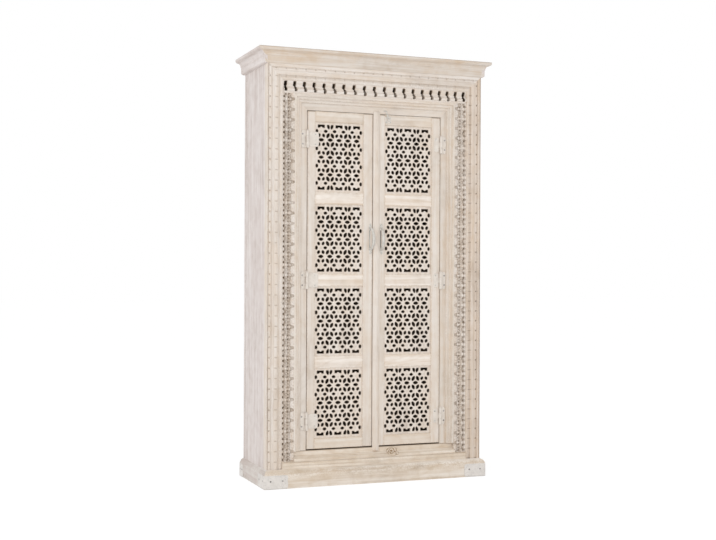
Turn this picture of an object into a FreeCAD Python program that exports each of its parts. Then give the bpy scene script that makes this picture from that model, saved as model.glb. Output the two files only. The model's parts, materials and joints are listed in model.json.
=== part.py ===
import FreeCAD, Part
import math
import os

V = FreeCAD.Vector

# Whole cabinet, in millimetres. The origin is the centre of the bounding box's foot and the front faces -Y.
body_width = 1020.0
body_depth = 368.0
total_height = 1900.0

# Carcass boards
side_thickness = 20.0
top_thickness = 20.0
bottom_thickness = 22.0
shelf_thickness = 20.0
shelf_side_gap = 0.5
shelf_door_gap = 5.0
cleat_height = 25.0
cleat_width = 18.0
back_thickness = 12.0
back_plank_count = 6
back_plank_gap = 1.0
back_foot_height = 100.0
rear_post_width = 45.0
rear_post_depth = 22.0
back_rail_height = 80.0

# Cornice: the reach beyond the body, and its section as shares of the growing part and of the height
cornice_height = 68.0
cornice_side_base = 19.0
cornice_front_base = 1.0
cornice_side_reach = 45.5
cornice_front_reach = 22.0
cornice_foot_share = 0.14
cornice_flat_share = 0.40
cornice_section_shares = ((0.0, 0.48), (0.09, 0.50), (0.36, 0.68), (0.58, 0.80), (1.0, 0.84), (1.0, 1.0))

# Outer mouldings of the front frame, from the body's edge inwards
frame_depth = 48.0
fillet_width = 15.0
groove_width = 5.0
groove_depth = 5.0
step_width = 8.0
step_depth = 2.0
band_width = 20.0
band_edge_depth = 4.0
band_crown_depth = 1.0
valley_width = 7.0
valley_depth = 9.0
rope_width = 14.0
rope_crown_depth = 4.0
rope_margin = 1.0

# Bracket row under the head
bracket_zone_height = 53.5
bracket_top_strip = 3.0
bracket_foot_strip = 8.0
bracket_pitch = 45.0
bracket_gap = 12.0
bracket_drift = 14.0
bracket_spread = 10.0
bracket_head_depth = 14.0
bracket_neck_depth = 16.0
bracket_belly_depth = 2.0
bracket_back_depth = 40.0
bracket_neck_share = 0.62
bracket_belly_share = 0.22

# Carved bands beside the doors
petal_band_width = 55.0
petal_pitch = 45.0
petal_floor_depth = 22.0
petal_crown_depth = 9.0
petal_foot_radius = 16.0
petal_crown_radius = 8.0
petal_row_shares = (0.30, 0.70)

# Stepped courses and the flat strip round the doors
course_width = 35.0
course_count = 3
course_front_depth = 12.0
strip_width = 28.0
head_courses_height = 67.5
head_strip_height = 30.0
strip_setback = 0.5

# Sill under the doors
sill_height = 71.5
sill_lower_height = 28.0
sill_shelf_height = 17.0
sill_groove_height = 4.0
sill_groove_depth = 4.0
sill_groove_shares = (0.36, 0.93)

# Plinth
plinth_height = 66.0
plinth_cap_height = 14.0
plinth_front_proud = 24.5
plinth_side_proud = 17.0
plinth_cap_setback = 5.0

# Iron corner plates of the plinth and all nail heads
plate_thickness = 1.5
plate_height = 58.0
plate_floor_gap = 1.0
plate_front_length = 109.0
plate_side_length = 100.0
plate_rear_length = 60.0
nail_radius = 4.0
nail_height = 1.2
plate_nail_height_share = 0.58
plate_nail_shares = (0.26, 0.76)

# Door leaves
door_face_depth = 33.0
leaf_thickness = 24.0
leaf_gap = 3.0
leaf_end_gap = 1.5
meeting_gap = 3.5
meeting_offset = 7.0
top_rail_height = 47.0
mid_rail_height = 53.0
bottom_rail_height = 48.0
panels_per_leaf = 4
left_hinge_stile_width = 36.0
left_meeting_stile_width = 44.0
right_hinge_stile_width = 42.0
right_meeting_stile_width = 57.5
astragal_width = 33.0
astragal_height = 8.0
astragal_rise = 12.0
astragal_drop = 20.0
stop_lip = 12.0
stop_height = 40.0
stop_depth = 26.0
stop_clearance = 0.5

# Pierced lattice panels: the hole field inside the panel, then holes as shares of the node spacing
jali_thickness = 12.0
jali_setback = 7.0
jali_side_margin = 9.0
jali_end_margin = 11.0
jali_columns = 5
jali_rows = 7
jali_end_row_share = 0.74
leaf_length_share = 0.26
leaf_width_share = 0.145
short_length_share = 0.165
short_width_share = 0.145
side_hole_reach_share = 0.18
side_hole_height_share = 0.16
slot_half_width_share = 0.36
slot_notch_half_width_share = 0.20
slot_notch_height_share = 0.12
slot_corner_height_share = 0.31
end_hole_half_width_share = 0.13

# Butt hinges with loose pins
hinge_height_shares = (0.084, 0.5, 0.916)
pin_reach = 7.0
pin_radius = 3.0
pin_clearance = 0.05
pin_head_radius = 5.0
pin_head_height = 3.0
knuckle_radius = 6.5
knuckle_length = 26.0
knuckle_gap = 0.4
hinge_plate_thickness = 2.0
hinge_plate_gap = 0.5
hinge_plate_height = 68.0
hinge_frame_plate_width = 20.0
hinge_left_plate_width = 48.0
hinge_right_plate_width = 26.0
hinge_nail_height_share = 0.32

# Handles
handle_height = 1081.0
handle_foot_distance = 105.0
handle_foot_length = 34.0
handle_foot_width = 14.0
handle_foot_thickness = 2.5
handle_edge_distance = 9.0
handle_bow_reach = 38.0
handle_bow_radius = 4.5
handle_lean = 5.0
right_handle_offset = 31.5

# Hook and staple at the head of the right leaf
latch_x = 62.0
latch_plate_size = 32.0
latch_plate_thickness = 2.0
latch_pivot_radius = 4.0
latch_pivot_clearance = 0.1
latch_head_radius = 6.5
latch_bar_length = 40.0
latch_bar_width = 8.0
latch_bar_thickness = 3.0
latch_bar_standoff = 9.0
latch_lean_angle = 19.0
staple_wire_radius = 2.0
staple_reach = 7.0
staple_span = 12.0

# One overrun for every cutting shape
overrun = 5.0

# Places worked out from the sizes above
half_width = body_width / 2
front_proud = max(plinth_front_proud + plate_thickness + nail_height, cornice_front_reach)
rear_proud = plate_thickness + nail_height
total_depth = front_proud + body_depth + rear_proud
front_y = front_proud - total_depth / 2
back_y = front_y + body_depth
frame_back_y = front_y + frame_depth
post_front_y = back_y - rear_post_depth
boards_front_y = post_front_y - back_thickness
cornice_bottom = total_height - cornice_height
under_top = total_height - top_thickness
border_width = (
    fillet_width + groove_width + step_width + band_width + valley_width + rope_width + rope_margin
)
bands_top = cornice_bottom - border_width
brackets_bottom = bands_top - bracket_zone_height
opening_top = brackets_bottom - head_courses_height
plinth_top = plinth_height + plinth_cap_height
bands_bottom = plinth_top + sill_lower_height
opening_bottom = plinth_top + sill_height
petal_edge = half_width - border_width
course_edge = petal_edge - petal_band_width
strip_edge = course_edge - course_width
opening_edge = strip_edge - strip_width
strip_depth = door_face_depth + strip_setback
strip_y = front_y + strip_depth
face_y = front_y + door_face_depth
leaf_back_y = face_y + leaf_thickness
leaf_bottom = opening_bottom + leaf_end_gap
leaf_top = opening_top - leaf_end_gap
leaf_height = leaf_top - leaf_bottom
rails_height = top_rail_height + bottom_rail_height + (panels_per_leaf - 1) * mid_rail_height
panel_height = (leaf_height - rails_height) / panels_per_leaf
panel_pitch = panel_height + mid_rail_height
pin_y = face_y - pin_reach
bottom_board_top = opening_bottom + stop_lip
inside_edge = half_width - side_thickness


def box(x0, x1, y0, y1, z0, z1):
    """Return a block between two corners."""
    return Part.makeBox(x1 - x0, y1 - y0, z1 - z0, V(x0, y0, z0))


def wire(start, *steps):
    """Return a closed wire: a step is an end point, or the middle and end points of an arc."""
    edges = []
    here = start
    for step in steps + (start,):
        if isinstance(step, tuple):
            edges.append(Part.Arc(here, step[0], step[1]).toShape())
            here = step[1]
        elif here.distanceToPoint(step) > 0:
            edges.append(Part.makeLine(here, step))
            here = step
    return Part.Wire(edges)


def sweep(direction, start, *steps):
    """Return the solid swept by an outline along a straight direction."""
    return Part.Face(wire(start, *steps)).extrude(direction)


def rod(radius, start, end):
    """Return a round bar between two points."""
    return Part.makeCylinder(radius, (end - start).Length, start, end - start)


def mirrored(shape):
    """Return the copy of a shape on the other side of the cabinet's middle plane."""
    return shape.mirror(V(0, 0, 0), V(1, 0, 0))


def both_sides(shape, stem):
    """Save a right-hand piece and its left-hand twin."""
    save(stem + "_right", shape)
    save(stem + "_left", mirrored(shape))


def save(name, *solids):
    """Write one node, as one solid or as a group of separate solids."""
    shape = solids[0] if len(solids) == 1 else Part.makeCompound(list(solids))
    shape.exportStep("parts/" + name + ".step")
    print(name, len(shape.Solids), shape.isValid(), round(shape.Volume))


def build_carcass():
    """Sides, back, top and bottom boards, shelves and their cleats."""
    side = box(inside_edge, half_width, frame_back_y, post_front_y, 0, under_top)
    both_sides(side, "side_panel")

    rail_edge = half_width - rear_post_width
    post = box(rail_edge, half_width, post_front_y, back_y, 0, under_top)
    middle = under_top / 2
    rail_feet = (plinth_top, middle, under_top - back_rail_height)
    rails = [box(-rail_edge, rail_edge, post_front_y, back_y, z, z + back_rail_height) for z in rail_feet]
    save("back_frame", post, mirrored(post), *rails)

    plank_pitch = 2 * inside_edge / back_plank_count
    plank_width = plank_pitch - back_plank_gap
    planks = []
    for i in range(back_plank_count):
        x = -inside_edge + i * plank_pitch + back_plank_gap / 2
        planks.append(box(x, x + plank_width, boards_front_y, post_front_y, back_foot_height, under_top))
    save("back_boards", *planks)

    save("top_board", box(-half_width, half_width, frame_back_y, back_y, under_top, total_height))

    board_edge = inside_edge - shelf_side_gap
    bottom_front = leaf_back_y + stop_clearance
    bottom_foot = bottom_board_top - bottom_thickness
    bottom = box(-board_edge, board_edge, bottom_front, boards_front_y, bottom_foot, bottom_board_top)
    save("bottom_board", bottom)

    shelf_front = leaf_back_y + shelf_door_gap
    cleat_tops = [bottom_foot]
    for i, name in enumerate(("shelf_lower", "shelf_middle", "shelf_upper")):
        rail_top = leaf_bottom + bottom_rail_height + (i + 1) * panel_pitch
        top = rail_top - (mid_rail_height - shelf_thickness) / 2
        foot = top - shelf_thickness
        save(name, box(-board_edge, board_edge, shelf_front, boards_front_y, foot, top))
        cleat_tops.append(foot)
    cleats = []
    for top in cleat_tops:
        foot = top - cleat_height
        cleat = box(inside_edge - cleat_width, inside_edge, frame_back_y, boards_front_y, foot, top)
        cleats += [cleat, mirrored(cleat)]
    save("shelf_cleats", *cleats)


def corner_trim(side_base, side_reach, front_base, front_reach, z0, z1):
    """Return the block that a front moulding keeps, with a mitre at each end."""
    outer_x = half_width + side_reach
    outer_y = front_y - front_reach
    slope = (front_reach - front_base) / (side_reach - side_base)
    inner_y = outer_y + slope * side_reach
    back = max(frame_back_y, inner_y)
    points = [
        V(-outer_x, outer_y, z0), V(outer_x, outer_y, z0), V(half_width, inner_y, z0),
        V(half_width, back, z0), V(-half_width, back, z0), V(-half_width, inner_y, z0),
    ]
    return sweep(V(0, 0, z1 - z0), *points)


def build_cornice():
    """The crown moulding: one section on three sides, mitred at the front corners."""
    trim = corner_trim(
        cornice_side_base, cornice_side_reach, cornice_front_base, cornice_front_reach,
        cornice_bottom, total_height,
    )

    def section(place, base, reach, inner):
        """Return the outline's points, where place turns a reach and a height into a point."""
        growth = reach - base
        flat = base * cornice_flat_share
        turn = math.sin(math.pi / 4)
        foot = cornice_height * cornice_foot_share
        points = [place(-inner, 0), place(flat, 0)]
        points.append((place(flat + (base - flat) * turn, foot * (1 - turn)), place(base, foot)))
        for out_share, height_share in cornice_section_shares:
            points.append(place(base + growth * out_share, cornice_height * height_share))
        points.append(place(-inner, cornice_height))
        return points

    outer_x = half_width + cornice_side_reach
    outer_y = front_y - cornice_front_reach
    front = sweep(V(2 * outer_x, 0, 0), *section(
        lambda out, up: V(-outer_x, front_y - out, cornice_bottom + up),
        cornice_front_base, cornice_front_reach, frame_depth,
    ))
    save("cornice_front", front.common(trim))
    side = sweep(V(0, back_y - outer_y, 0), *section(
        lambda out, up: V(half_width + out, outer_y, cornice_bottom + up),
        cornice_side_base, cornice_side_reach, 0,
    ))
    both_sides(side.cut(trim), "cornice")


def border_outline(place):
    """Return the outer mouldings' section, where place turns a width and a depth into a point."""
    w1 = fillet_width
    w2 = w1 + groove_width
    w3 = w2 + step_width
    w4 = w3 + band_width
    w5 = w4 + valley_width
    w6 = w5 + rope_width
    return [
        place(0, frame_depth), place(0, 0), place(w1, 0), place(w1, groove_depth), place(w2, groove_depth),
        place(w2, step_depth), place(w3, step_depth), place(w3, band_edge_depth),
        (place(w3 + band_width / 2, band_crown_depth), place(w4, band_edge_depth)),
        place(w4, valley_depth), place(w5, valley_depth),
        (place(w5 + rope_width / 2, rope_crown_depth), place(w6, valley_depth)),
        place(border_width, valley_depth), place(border_width, frame_depth),
    ]


def build_frame():
    """The outer mouldings: two stiles and a head, mitred."""
    wedge = sweep(
        V(0, frame_depth + 2 * overrun, 0),
        V(half_width + overrun, front_y - overrun, cornice_bottom + overrun),
        V(petal_edge, front_y - overrun, bands_top),
        V(-petal_edge, front_y - overrun, bands_top),
        V(-half_width - overrun, front_y - overrun, cornice_bottom + overrun),
    )
    stile = sweep(V(0, 0, cornice_bottom), *border_outline(lambda w, d: V(half_width - w, front_y + d, 0)))
    both_sides(stile.cut(wedge), "frame_stile")
    head = sweep(V(body_width, 0, 0), *border_outline(
        lambda w, d: V(-half_width, front_y + d, cornice_bottom - w)
    ))
    save("frame_head", head.common(wedge))


def bracket_gap_centres():
    """Return the middles of the gaps, drifting right half way along and closer together at both ends."""
    count = int(2 * (petal_edge - bracket_gap) / bracket_pitch) + 1
    middle = (count - 1) / 2
    return [
        (i - middle) * bracket_pitch + bracket_drift * math.sin(math.pi * i / (count - 1))
        - bracket_spread * math.sin(2 * math.pi * i / (count - 1))
        for i in range(count)
    ]


def build_brackets():
    """One rail with a carved bracket between each pair of through gaps."""
    gap_bottom = brackets_bottom + bracket_foot_strip
    gap_top = bands_top - bracket_top_strip
    gap_height = gap_top - gap_bottom
    neck_z = gap_bottom + gap_height * bracket_neck_share
    belly_z = gap_bottom + gap_height * bracket_belly_share
    y_back = front_y + bracket_back_depth
    y_head = front_y + bracket_head_depth
    y_neck = front_y + bracket_neck_depth
    y_belly = front_y + bracket_belly_depth
    y_waist = (y_neck + y_belly) / 2
    waist_z = (neck_z + belly_z) / 2
    start = -petal_edge
    foot_z = brackets_bottom + bracket_foot_strip / 2
    rail = sweep(
        V(2 * petal_edge, 0, 0),
        V(start, y_back, brackets_bottom), V(start, y_head, brackets_bottom),
        V(start, y_head, foot_z),
        (V(start, y_belly, belly_z), V(start, y_waist, waist_z)),
        V(start, y_neck, neck_z), V(start, y_head, bands_top),
        V(start, y_back, bands_top),
    )
    slots = []
    for x in bracket_gap_centres():
        x0 = x - bracket_gap / 2
        slots.append(box(
            x0, x0 + bracket_gap, front_y - overrun, y_back + overrun, gap_bottom, gap_top
        ))
    save("bracket_row", rail.cut(slots))


def build_petal_bands():
    """A sunk strip with two staggered rows of raised petals on each side of the doors."""
    y_floor = front_y + petal_floor_depth
    strip = box(course_edge, petal_edge, y_floor, frame_back_y, bands_bottom, brackets_bottom)
    band_height = brackets_bottom - bands_bottom
    count = int(band_height / petal_pitch)
    start = bands_bottom + (band_height - (count - 1) * petal_pitch) / 2
    rise = petal_floor_depth - petal_crown_depth
    petals = []
    for row, share in enumerate(petal_row_shares):
        x = petal_edge - petal_band_width * share
        for i in range(count - row):
            z = start + (i + row / 2) * petal_pitch
            petals.append(Part.makeCone(
                petal_foot_radius, petal_crown_radius, rise, V(x, y_floor, z), V(0, -1, 0)
            ))
    limits = box(
        course_edge, petal_edge, front_y, y_floor, bands_bottom, brackets_bottom
    )
    band = strip.multiFuse([petal.common(limits) for petal in petals])
    both_sides(band, "petal_band")


def stepped_outline(place, courses, strip):
    """Return the stepped section, from the carved band to the opening."""
    fall = (strip_depth - course_front_depth) / course_count
    points = [place(0, frame_depth)]
    for i in range(course_count):
        depth = course_front_depth + i * fall
        points += [place(courses * i / course_count, depth), place(courses * (i + 1) / course_count, depth)]
    points += [place(courses, strip_depth), place(courses + strip, strip_depth)]
    points.append(place(courses + strip, frame_depth))
    return points


def build_courses():
    """The stepped courses and flat strip: two jambs, the head and the moulded sill."""
    head_courses = head_courses_height - head_strip_height
    y0 = front_y - overrun
    trim = sweep(
        V(0, frame_depth + 2 * overrun, 0),
        V(-course_edge, y0, brackets_bottom), V(-strip_edge, y0, brackets_bottom - head_courses),
        V(-opening_edge, y0, opening_top), V(opening_edge, y0, opening_top),
        V(strip_edge, y0, brackets_bottom - head_courses), V(course_edge, y0, brackets_bottom),
    )
    height = brackets_bottom - opening_bottom
    jamb = sweep(V(0, 0, height), *stepped_outline(
        lambda w, d: V(course_edge - w, front_y + d, opening_bottom), course_width, strip_width
    ))
    both_sides(jamb.cut(trim), "jamb")
    head = sweep(V(2 * course_edge, 0, 0), *stepped_outline(
        lambda w, d: V(-course_edge, front_y + d, brackets_bottom - w), head_courses, head_strip_height
    ))
    save("head_courses", head.common(trim))

    lower = box(-petal_edge, petal_edge, front_y, frame_back_y, 0, bands_bottom)
    shelf_top = bands_bottom + sill_shelf_height
    upper = box(-course_edge, course_edge, front_y, frame_back_y, bands_bottom, shelf_top)
    flat = box(-course_edge, course_edge, strip_y, frame_back_y, shelf_top, opening_bottom)
    grooves = []
    for share in sill_groove_shares:
        z = plinth_top + sill_lower_height * share
        grooves.append(box(
            -half_width, half_width, front_y - overrun, front_y + sill_groove_depth, z, z + sill_groove_height
        ))
    save("sill", lower.multiFuse([upper, flat]).cut(grooves).removeSplitter())


def build_plinth():
    """The base moulding, with a sloping cap, mitred at the front corners."""
    trim = corner_trim(0, plinth_side_proud, 0, plinth_front_proud, 0, plinth_top)
    outer_x = half_width + plinth_side_proud
    outer_y = front_y - plinth_front_proud
    front = sweep(
        V(2 * outer_x, 0, 0),
        V(-outer_x, front_y, 0), V(-outer_x, outer_y, 0), V(-outer_x, outer_y, plinth_height),
        V(-outer_x, outer_y + plinth_cap_setback, plinth_height + plinth_cap_height / 2),
        V(-outer_x, front_y, plinth_top),
    )
    save("plinth_front", front.common(trim))
    side = sweep(
        V(0, back_y - outer_y, 0),
        V(half_width, outer_y, 0), V(outer_x, outer_y, 0), V(outer_x, outer_y, plinth_height),
        V(outer_x - plinth_cap_setback, outer_y, plinth_height + plinth_cap_height / 2),
        V(half_width, outer_y, plinth_top),
    )
    both_sides(side.cut(trim), "plinth")
    back_edge = half_width - rear_post_width
    save("plinth_back", box(-back_edge, back_edge, post_front_y, back_y, 0, plinth_top))


def nail(place, direction):
    """Return a low round nail head that stands on a plate."""
    crown_radius = nail_radius / 2
    return Part.makeCone(nail_radius, crown_radius, nail_height, place, direction)


def build_corner_plates():
    """Four bent plates round the plinth's corners, and the nails that hold them."""
    outer_x = half_width + plinth_side_proud
    outer_y = front_y - plinth_front_proud
    plates = []
    nails = []
    plate_top = plate_floor_gap + plate_height
    nail_z = plate_floor_gap + plate_height * plate_nail_height_share
    corners = (
        (outer_y, -1, plate_front_length, plate_side_length),
        (back_y, 1, plate_rear_length, plate_rear_length),
    )
    for corner_y, out, across, along in corners:
        y_out = corner_y + out * plate_thickness
        y_in = y_out - out * along
        x_out = outer_x + plate_thickness
        x_in = x_out - across
        outer = box(x_in, x_out, min(y_out, y_in), max(y_out, y_in), plate_floor_gap, plate_top)
        y_far = y_in - out * overrun
        inner = box(
            x_in - overrun, outer_x, min(corner_y, y_far), max(corner_y, y_far), 0, plate_top + overrun
        )
        plate = outer.cut(inner)
        plates += [plate, mirrored(plate)]
        for share in plate_nail_shares:
            face_nail = nail(V(x_out - across * share, y_out, nail_z), V(0, out, 0))
            side_nail = nail(V(x_out, y_out - out * along * share, nail_z), V(1, 0, 0))
            nails += [face_nail, mirrored(face_nail), side_nail, mirrored(side_nail)]
    save("corner_plates", *plates)
    return nails


def leaf_hole(x, z, along_x, along_z, half_length, half_width_):
    """Return a pointed oval hole outline about a middle point, along a unit direction."""
    tip_a = V(x + along_x * half_length, 0, z + along_z * half_length)
    tip_b = V(x - along_x * half_length, 0, z - along_z * half_length)
    side_a = V(x - along_z * half_width_, 0, z + along_x * half_width_)
    side_b = V(x + along_z * half_width_, 0, z - along_x * half_width_)
    return wire(tip_a, (side_a, tip_b), (side_b, tip_a))


def jali_holes(width, height):
    """Return the outlines of a panel's holes about its middle.

    The lattice is rows of nodes half a spacing apart. Every second row has rosettes at its first, third
    and fifth nodes, and a hole lies on every line between two neighbouring nodes.
    """
    pitch = (width - 2 * jali_side_margin) / jali_columns
    field_top = height / 2 - jali_end_margin
    row = 2 * field_top / (jali_rows - 1 + 2 * jali_end_row_share)
    long_half = pitch * leaf_length_share
    long_wide = pitch * leaf_width_share
    short_half = pitch * short_length_share
    short_wide = pitch * short_width_share
    slant = math.hypot(pitch / 2, row)
    slant_x = pitch / 2 / slant
    slant_z = row / slant
    middle_column = (jali_columns - 1) / 2
    middle_row = (jali_rows - 1) / 2
    field_edge = pitch * jali_columns / 2
    holes = []

    def column_x(i):
        return (i - middle_column) * pitch

    def row_z(j):
        return (j - middle_row) * row

    for j in range(jali_rows):
        z = row_z(j)
        rosette_row = j % 2 == 0
        if rosette_row:
            for i in range(jali_columns - 1):
                holes.append(leaf_hole(column_x(i) + pitch / 2, z, 1, 0, short_half, short_wide))
            reach = pitch * side_hole_reach_share
            rise = pitch * side_hole_height_share
            for side in (-1, 1):
                x = side * field_edge
                holes.append(wire(V(x, 0, z - rise), (V(x - side * reach, 0, z), V(x, 0, z + rise))))
        else:
            for i in range(jali_columns):
                holes.append(leaf_hole(column_x(i), z, 1, 0, long_half, long_wide))

    for j in range(jali_rows - 1):
        z = row_z(j) + row / 2
        up = 1 if j % 2 == 0 else -1
        for i in range(jali_columns):
            rosette = i % 2 == 0
            half = short_half if rosette else long_half
            wide = short_wide if rosette else long_wide
            for side in (-1, 1):
                x = column_x(i) + side * pitch / 4
                holes.append(leaf_hole(x, z, side * slant_x, up * slant_z, half, wide))

    for end in (-1, 1):
        edge = end * field_top
        base = row_z((jali_rows - 1) * (1 + end) / 2)
        for i in range(jali_columns):
            x = column_x(i)
            if i % 2 == 0:
                corner = edge - end * pitch * slot_corner_height_share
                notch = edge - end * pitch * slot_notch_height_share
                wide = pitch * slot_half_width_share
                narrow = pitch * slot_notch_half_width_share
                holes.append(wire(
                    V(x - wide, 0, edge), V(x + wide, 0, edge), V(x + wide, 0, corner),
                    V(x + narrow, 0, corner), (V(x, 0, notch), V(x - narrow, 0, corner)),
                    V(x - wide, 0, corner),
                ))
                continue
            for side in (-1, 1):
                centre = x + side * pitch / 4
                tip = V(centre - side * slant_x * long_half, 0, base + end * (row / 2 - slant_z * long_half))
                wide = pitch * end_hole_half_width_share
                inner = V(centre - side * wide, 0, edge)
                outer = V(centre + side * wide, 0, edge)
                bulge = V(centre + side * wide, 0, base + end * row / 2)
                holes.append(wire(tip, (bulge, outer), inner))
    return holes


def jali_panel(width, height):
    """Return one pierced panel about the middle of its front face."""
    x = width / 2
    z = height / 2
    outline = wire(V(-x, 0, -z), V(x, 0, -z), V(x, 0, z), V(-x, 0, z))
    face = Part.Face([outline] + jali_holes(width, height), "Part::FaceMakerBullseye")
    return face.extrude(V(0, jali_thickness, 0))


def build_leaf(name, x0, x1, left_stile, right_stile, stile_names):
    """Stiles, rails and pierced panels of one leaf between two edges."""
    inner0 = x0 + left_stile
    inner1 = x1 - right_stile
    save(name + stile_names[0], box(x0, inner0, face_y, leaf_back_y, leaf_bottom, leaf_top))
    save(name + stile_names[1], box(inner1, x1, face_y, leaf_back_y, leaf_bottom, leaf_top))
    first = leaf_bottom + bottom_rail_height
    save(name + "_bottom_rail", box(inner0, inner1, face_y, leaf_back_y, leaf_bottom, first))
    save(name + "_top_rail", box(inner0, inner1, face_y, leaf_back_y, leaf_top - top_rail_height, leaf_top))
    rails = []
    panel = jali_panel(inner1 - inner0, panel_height)
    for i in range(panels_per_leaf):
        foot = first + i * panel_pitch
        if i > 0:
            rails.append(box(inner0, inner1, face_y, leaf_back_y, foot - mid_rail_height, foot))
        placed = panel.translated(V((inner0 + inner1) / 2, face_y + jali_setback, foot + panel_height / 2))
        save(name + "_jali_" + str(i + 1), placed)
    save(name + "_mid_rails", *rails)


def handle(x, lean):
    """Return a bow pull with a leaf-shaped foot at each end, and the nails of its feet."""
    foot_z = (handle_height - handle_foot_distance / 2, handle_height + handle_foot_distance / 2)
    y_foot = face_y - handle_foot_thickness
    half = handle_foot_length / 2
    wide = handle_foot_width / 2
    feet = []
    nails = []
    for z, out in zip(foot_z, (-1, 1)):
        feet.append(sweep(
            V(0, handle_foot_thickness, 0),
            V(x, y_foot, z - half), (V(x + wide, y_foot, z), V(x, y_foot, z + half)),
            (V(x - wide, y_foot, z), V(x, y_foot, z - half)),
        ))
        nails.append(nail(V(x, y_foot, z + out * (half - nail_radius * 2)), V(0, -1, 0)))
    reach = face_y - handle_bow_reach + handle_bow_radius
    y_root = face_y - handle_foot_thickness / 2
    path = Part.Wire(Part.Arc(
        V(x, y_root, foot_z[0]), V(x + lean, reach, handle_height), V(x, y_root, foot_z[1])
    ).toShape())
    start = path.Edges[0]
    ring = Part.Wire(Part.makeCircle(
        handle_bow_radius, start.valueAt(start.FirstParameter), start.tangentAt(start.FirstParameter)
    ))
    bow = path.makePipeShell([ring], True, False)
    behind = box(
        x - handle_foot_length, x + handle_foot_length, face_y - handle_foot_thickness / 2, leaf_back_y,
        foot_z[0] - handle_foot_length, foot_z[1] + handle_foot_length,
    )
    return feet[0].multiFuse([feet[1], bow.cut(behind)]), nails


def hinge_heights():
    """Return the heights of the hinges' middles."""
    return [leaf_bottom + leaf_height * share for share in hinge_height_shares]


def knuckle(z0, z1):
    """Return one barrel piece of the right-hand hinge, bored for its pin."""
    x = opening_edge
    barrel = rod(knuckle_radius, V(x, pin_y, z0), V(x, pin_y, z1))
    return barrel.cut(rod(pin_radius + pin_clearance, V(x, pin_y, z0 - overrun), V(x, pin_y, z1 + overrun)))


def hinge_tab(side, surface_y, z0, z1):
    """Return the short bend that joins a barrel piece to its plate."""
    x0 = opening_edge
    x1 = opening_edge + side * (knuckle_radius + hinge_plate_gap)
    y1 = surface_y
    y0 = pin_y + (pin_radius + knuckle_radius) / 2
    return box(min(x0, x1), max(x0, x1), y0, y1, z0, z1)


def hinge_plate(side, surface_y, width, z):
    """Return the flat plate of a hinge half."""
    near = opening_edge + side * (knuckle_radius + hinge_plate_gap)
    far = near + side * width
    half = hinge_plate_height / 2
    front = surface_y - hinge_plate_thickness
    return box(min(near, far), max(near, far), front, surface_y, z - half, z + half)


def hinge_half(side, surface_y, width, z, spans):
    """Return a plate with its barrel pieces and the nails of the plate."""
    pieces = []
    for z0, z1 in spans:
        pieces += [knuckle(z0, z1), hinge_tab(side, surface_y, z0, z1)]
    plate = hinge_plate(side, surface_y, width, z).multiFuse(pieces).removeSplitter()
    nail_x = opening_edge + side * (knuckle_radius + hinge_plate_gap + width * 2 / 3)
    nail_rise = hinge_plate_height * hinge_nail_height_share
    front = surface_y - hinge_plate_thickness
    nails = [nail(V(nail_x, front, z + end * nail_rise), V(0, -1, 0)) for end in (-1, 1)]
    return plate, nails


def build_hinges():
    """Three hinges on each side. Returns the nails of the frame and of the two leaves."""
    frame_plates = []
    leaf_plates = {-1: [], 1: []}
    pins = []
    nails = {"frame": [], -1: [], 1: []}
    middle = knuckle_length / 2
    for z in hinge_heights():
        ends = (
            (z - middle - knuckle_gap - knuckle_length, z - middle - knuckle_gap),
            (z + middle + knuckle_gap, z + middle + knuckle_gap + knuckle_length),
        )
        plate, plate_nails = hinge_half(1, strip_y, hinge_frame_plate_width, z, ends)
        frame_plates += [plate, mirrored(plate)]
        nails["frame"] += plate_nails + [mirrored(shape) for shape in plate_nails]
        for side, width in ((-1, hinge_left_plate_width), (1, hinge_right_plate_width)):
            plate, plate_nails = hinge_half(-1, face_y, width, z, ((z - middle, z + middle),))
            if side < 0:
                plate = mirrored(plate)
                plate_nails = [mirrored(shape) for shape in plate_nails]
            leaf_plates[side].append(plate)
            nails[side] += plate_nails
        foot = V(opening_edge, pin_y, ends[0][0])
        crown = V(opening_edge, pin_y, ends[1][1])
        head = rod(pin_head_radius, crown, crown + V(0, 0, pin_head_height))
        pin = rod(pin_radius, foot, crown).fuse(head).removeSplitter()
        pins += [pin, mirrored(pin)]
    save("hinge_frame_plates", *frame_plates)
    save("hinge_pins", *pins)
    save("left_hinge_plates", *leaf_plates[-1])
    save("right_hinge_plates", *leaf_plates[1])
    return nails


def build_astragal():
    """The half-round strip on the right leaf, a little longer than the leaf."""
    left = meeting_offset - astragal_width / 2
    right = left + astragal_width
    z0 = leaf_bottom - astragal_drop
    strip = sweep(
        V(0, 0, leaf_height + astragal_drop + astragal_rise),
        V(left, face_y, z0), (V(meeting_offset, face_y - astragal_height, z0), V(right, face_y, z0)),
    )
    save("right_astragal", strip)


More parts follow.
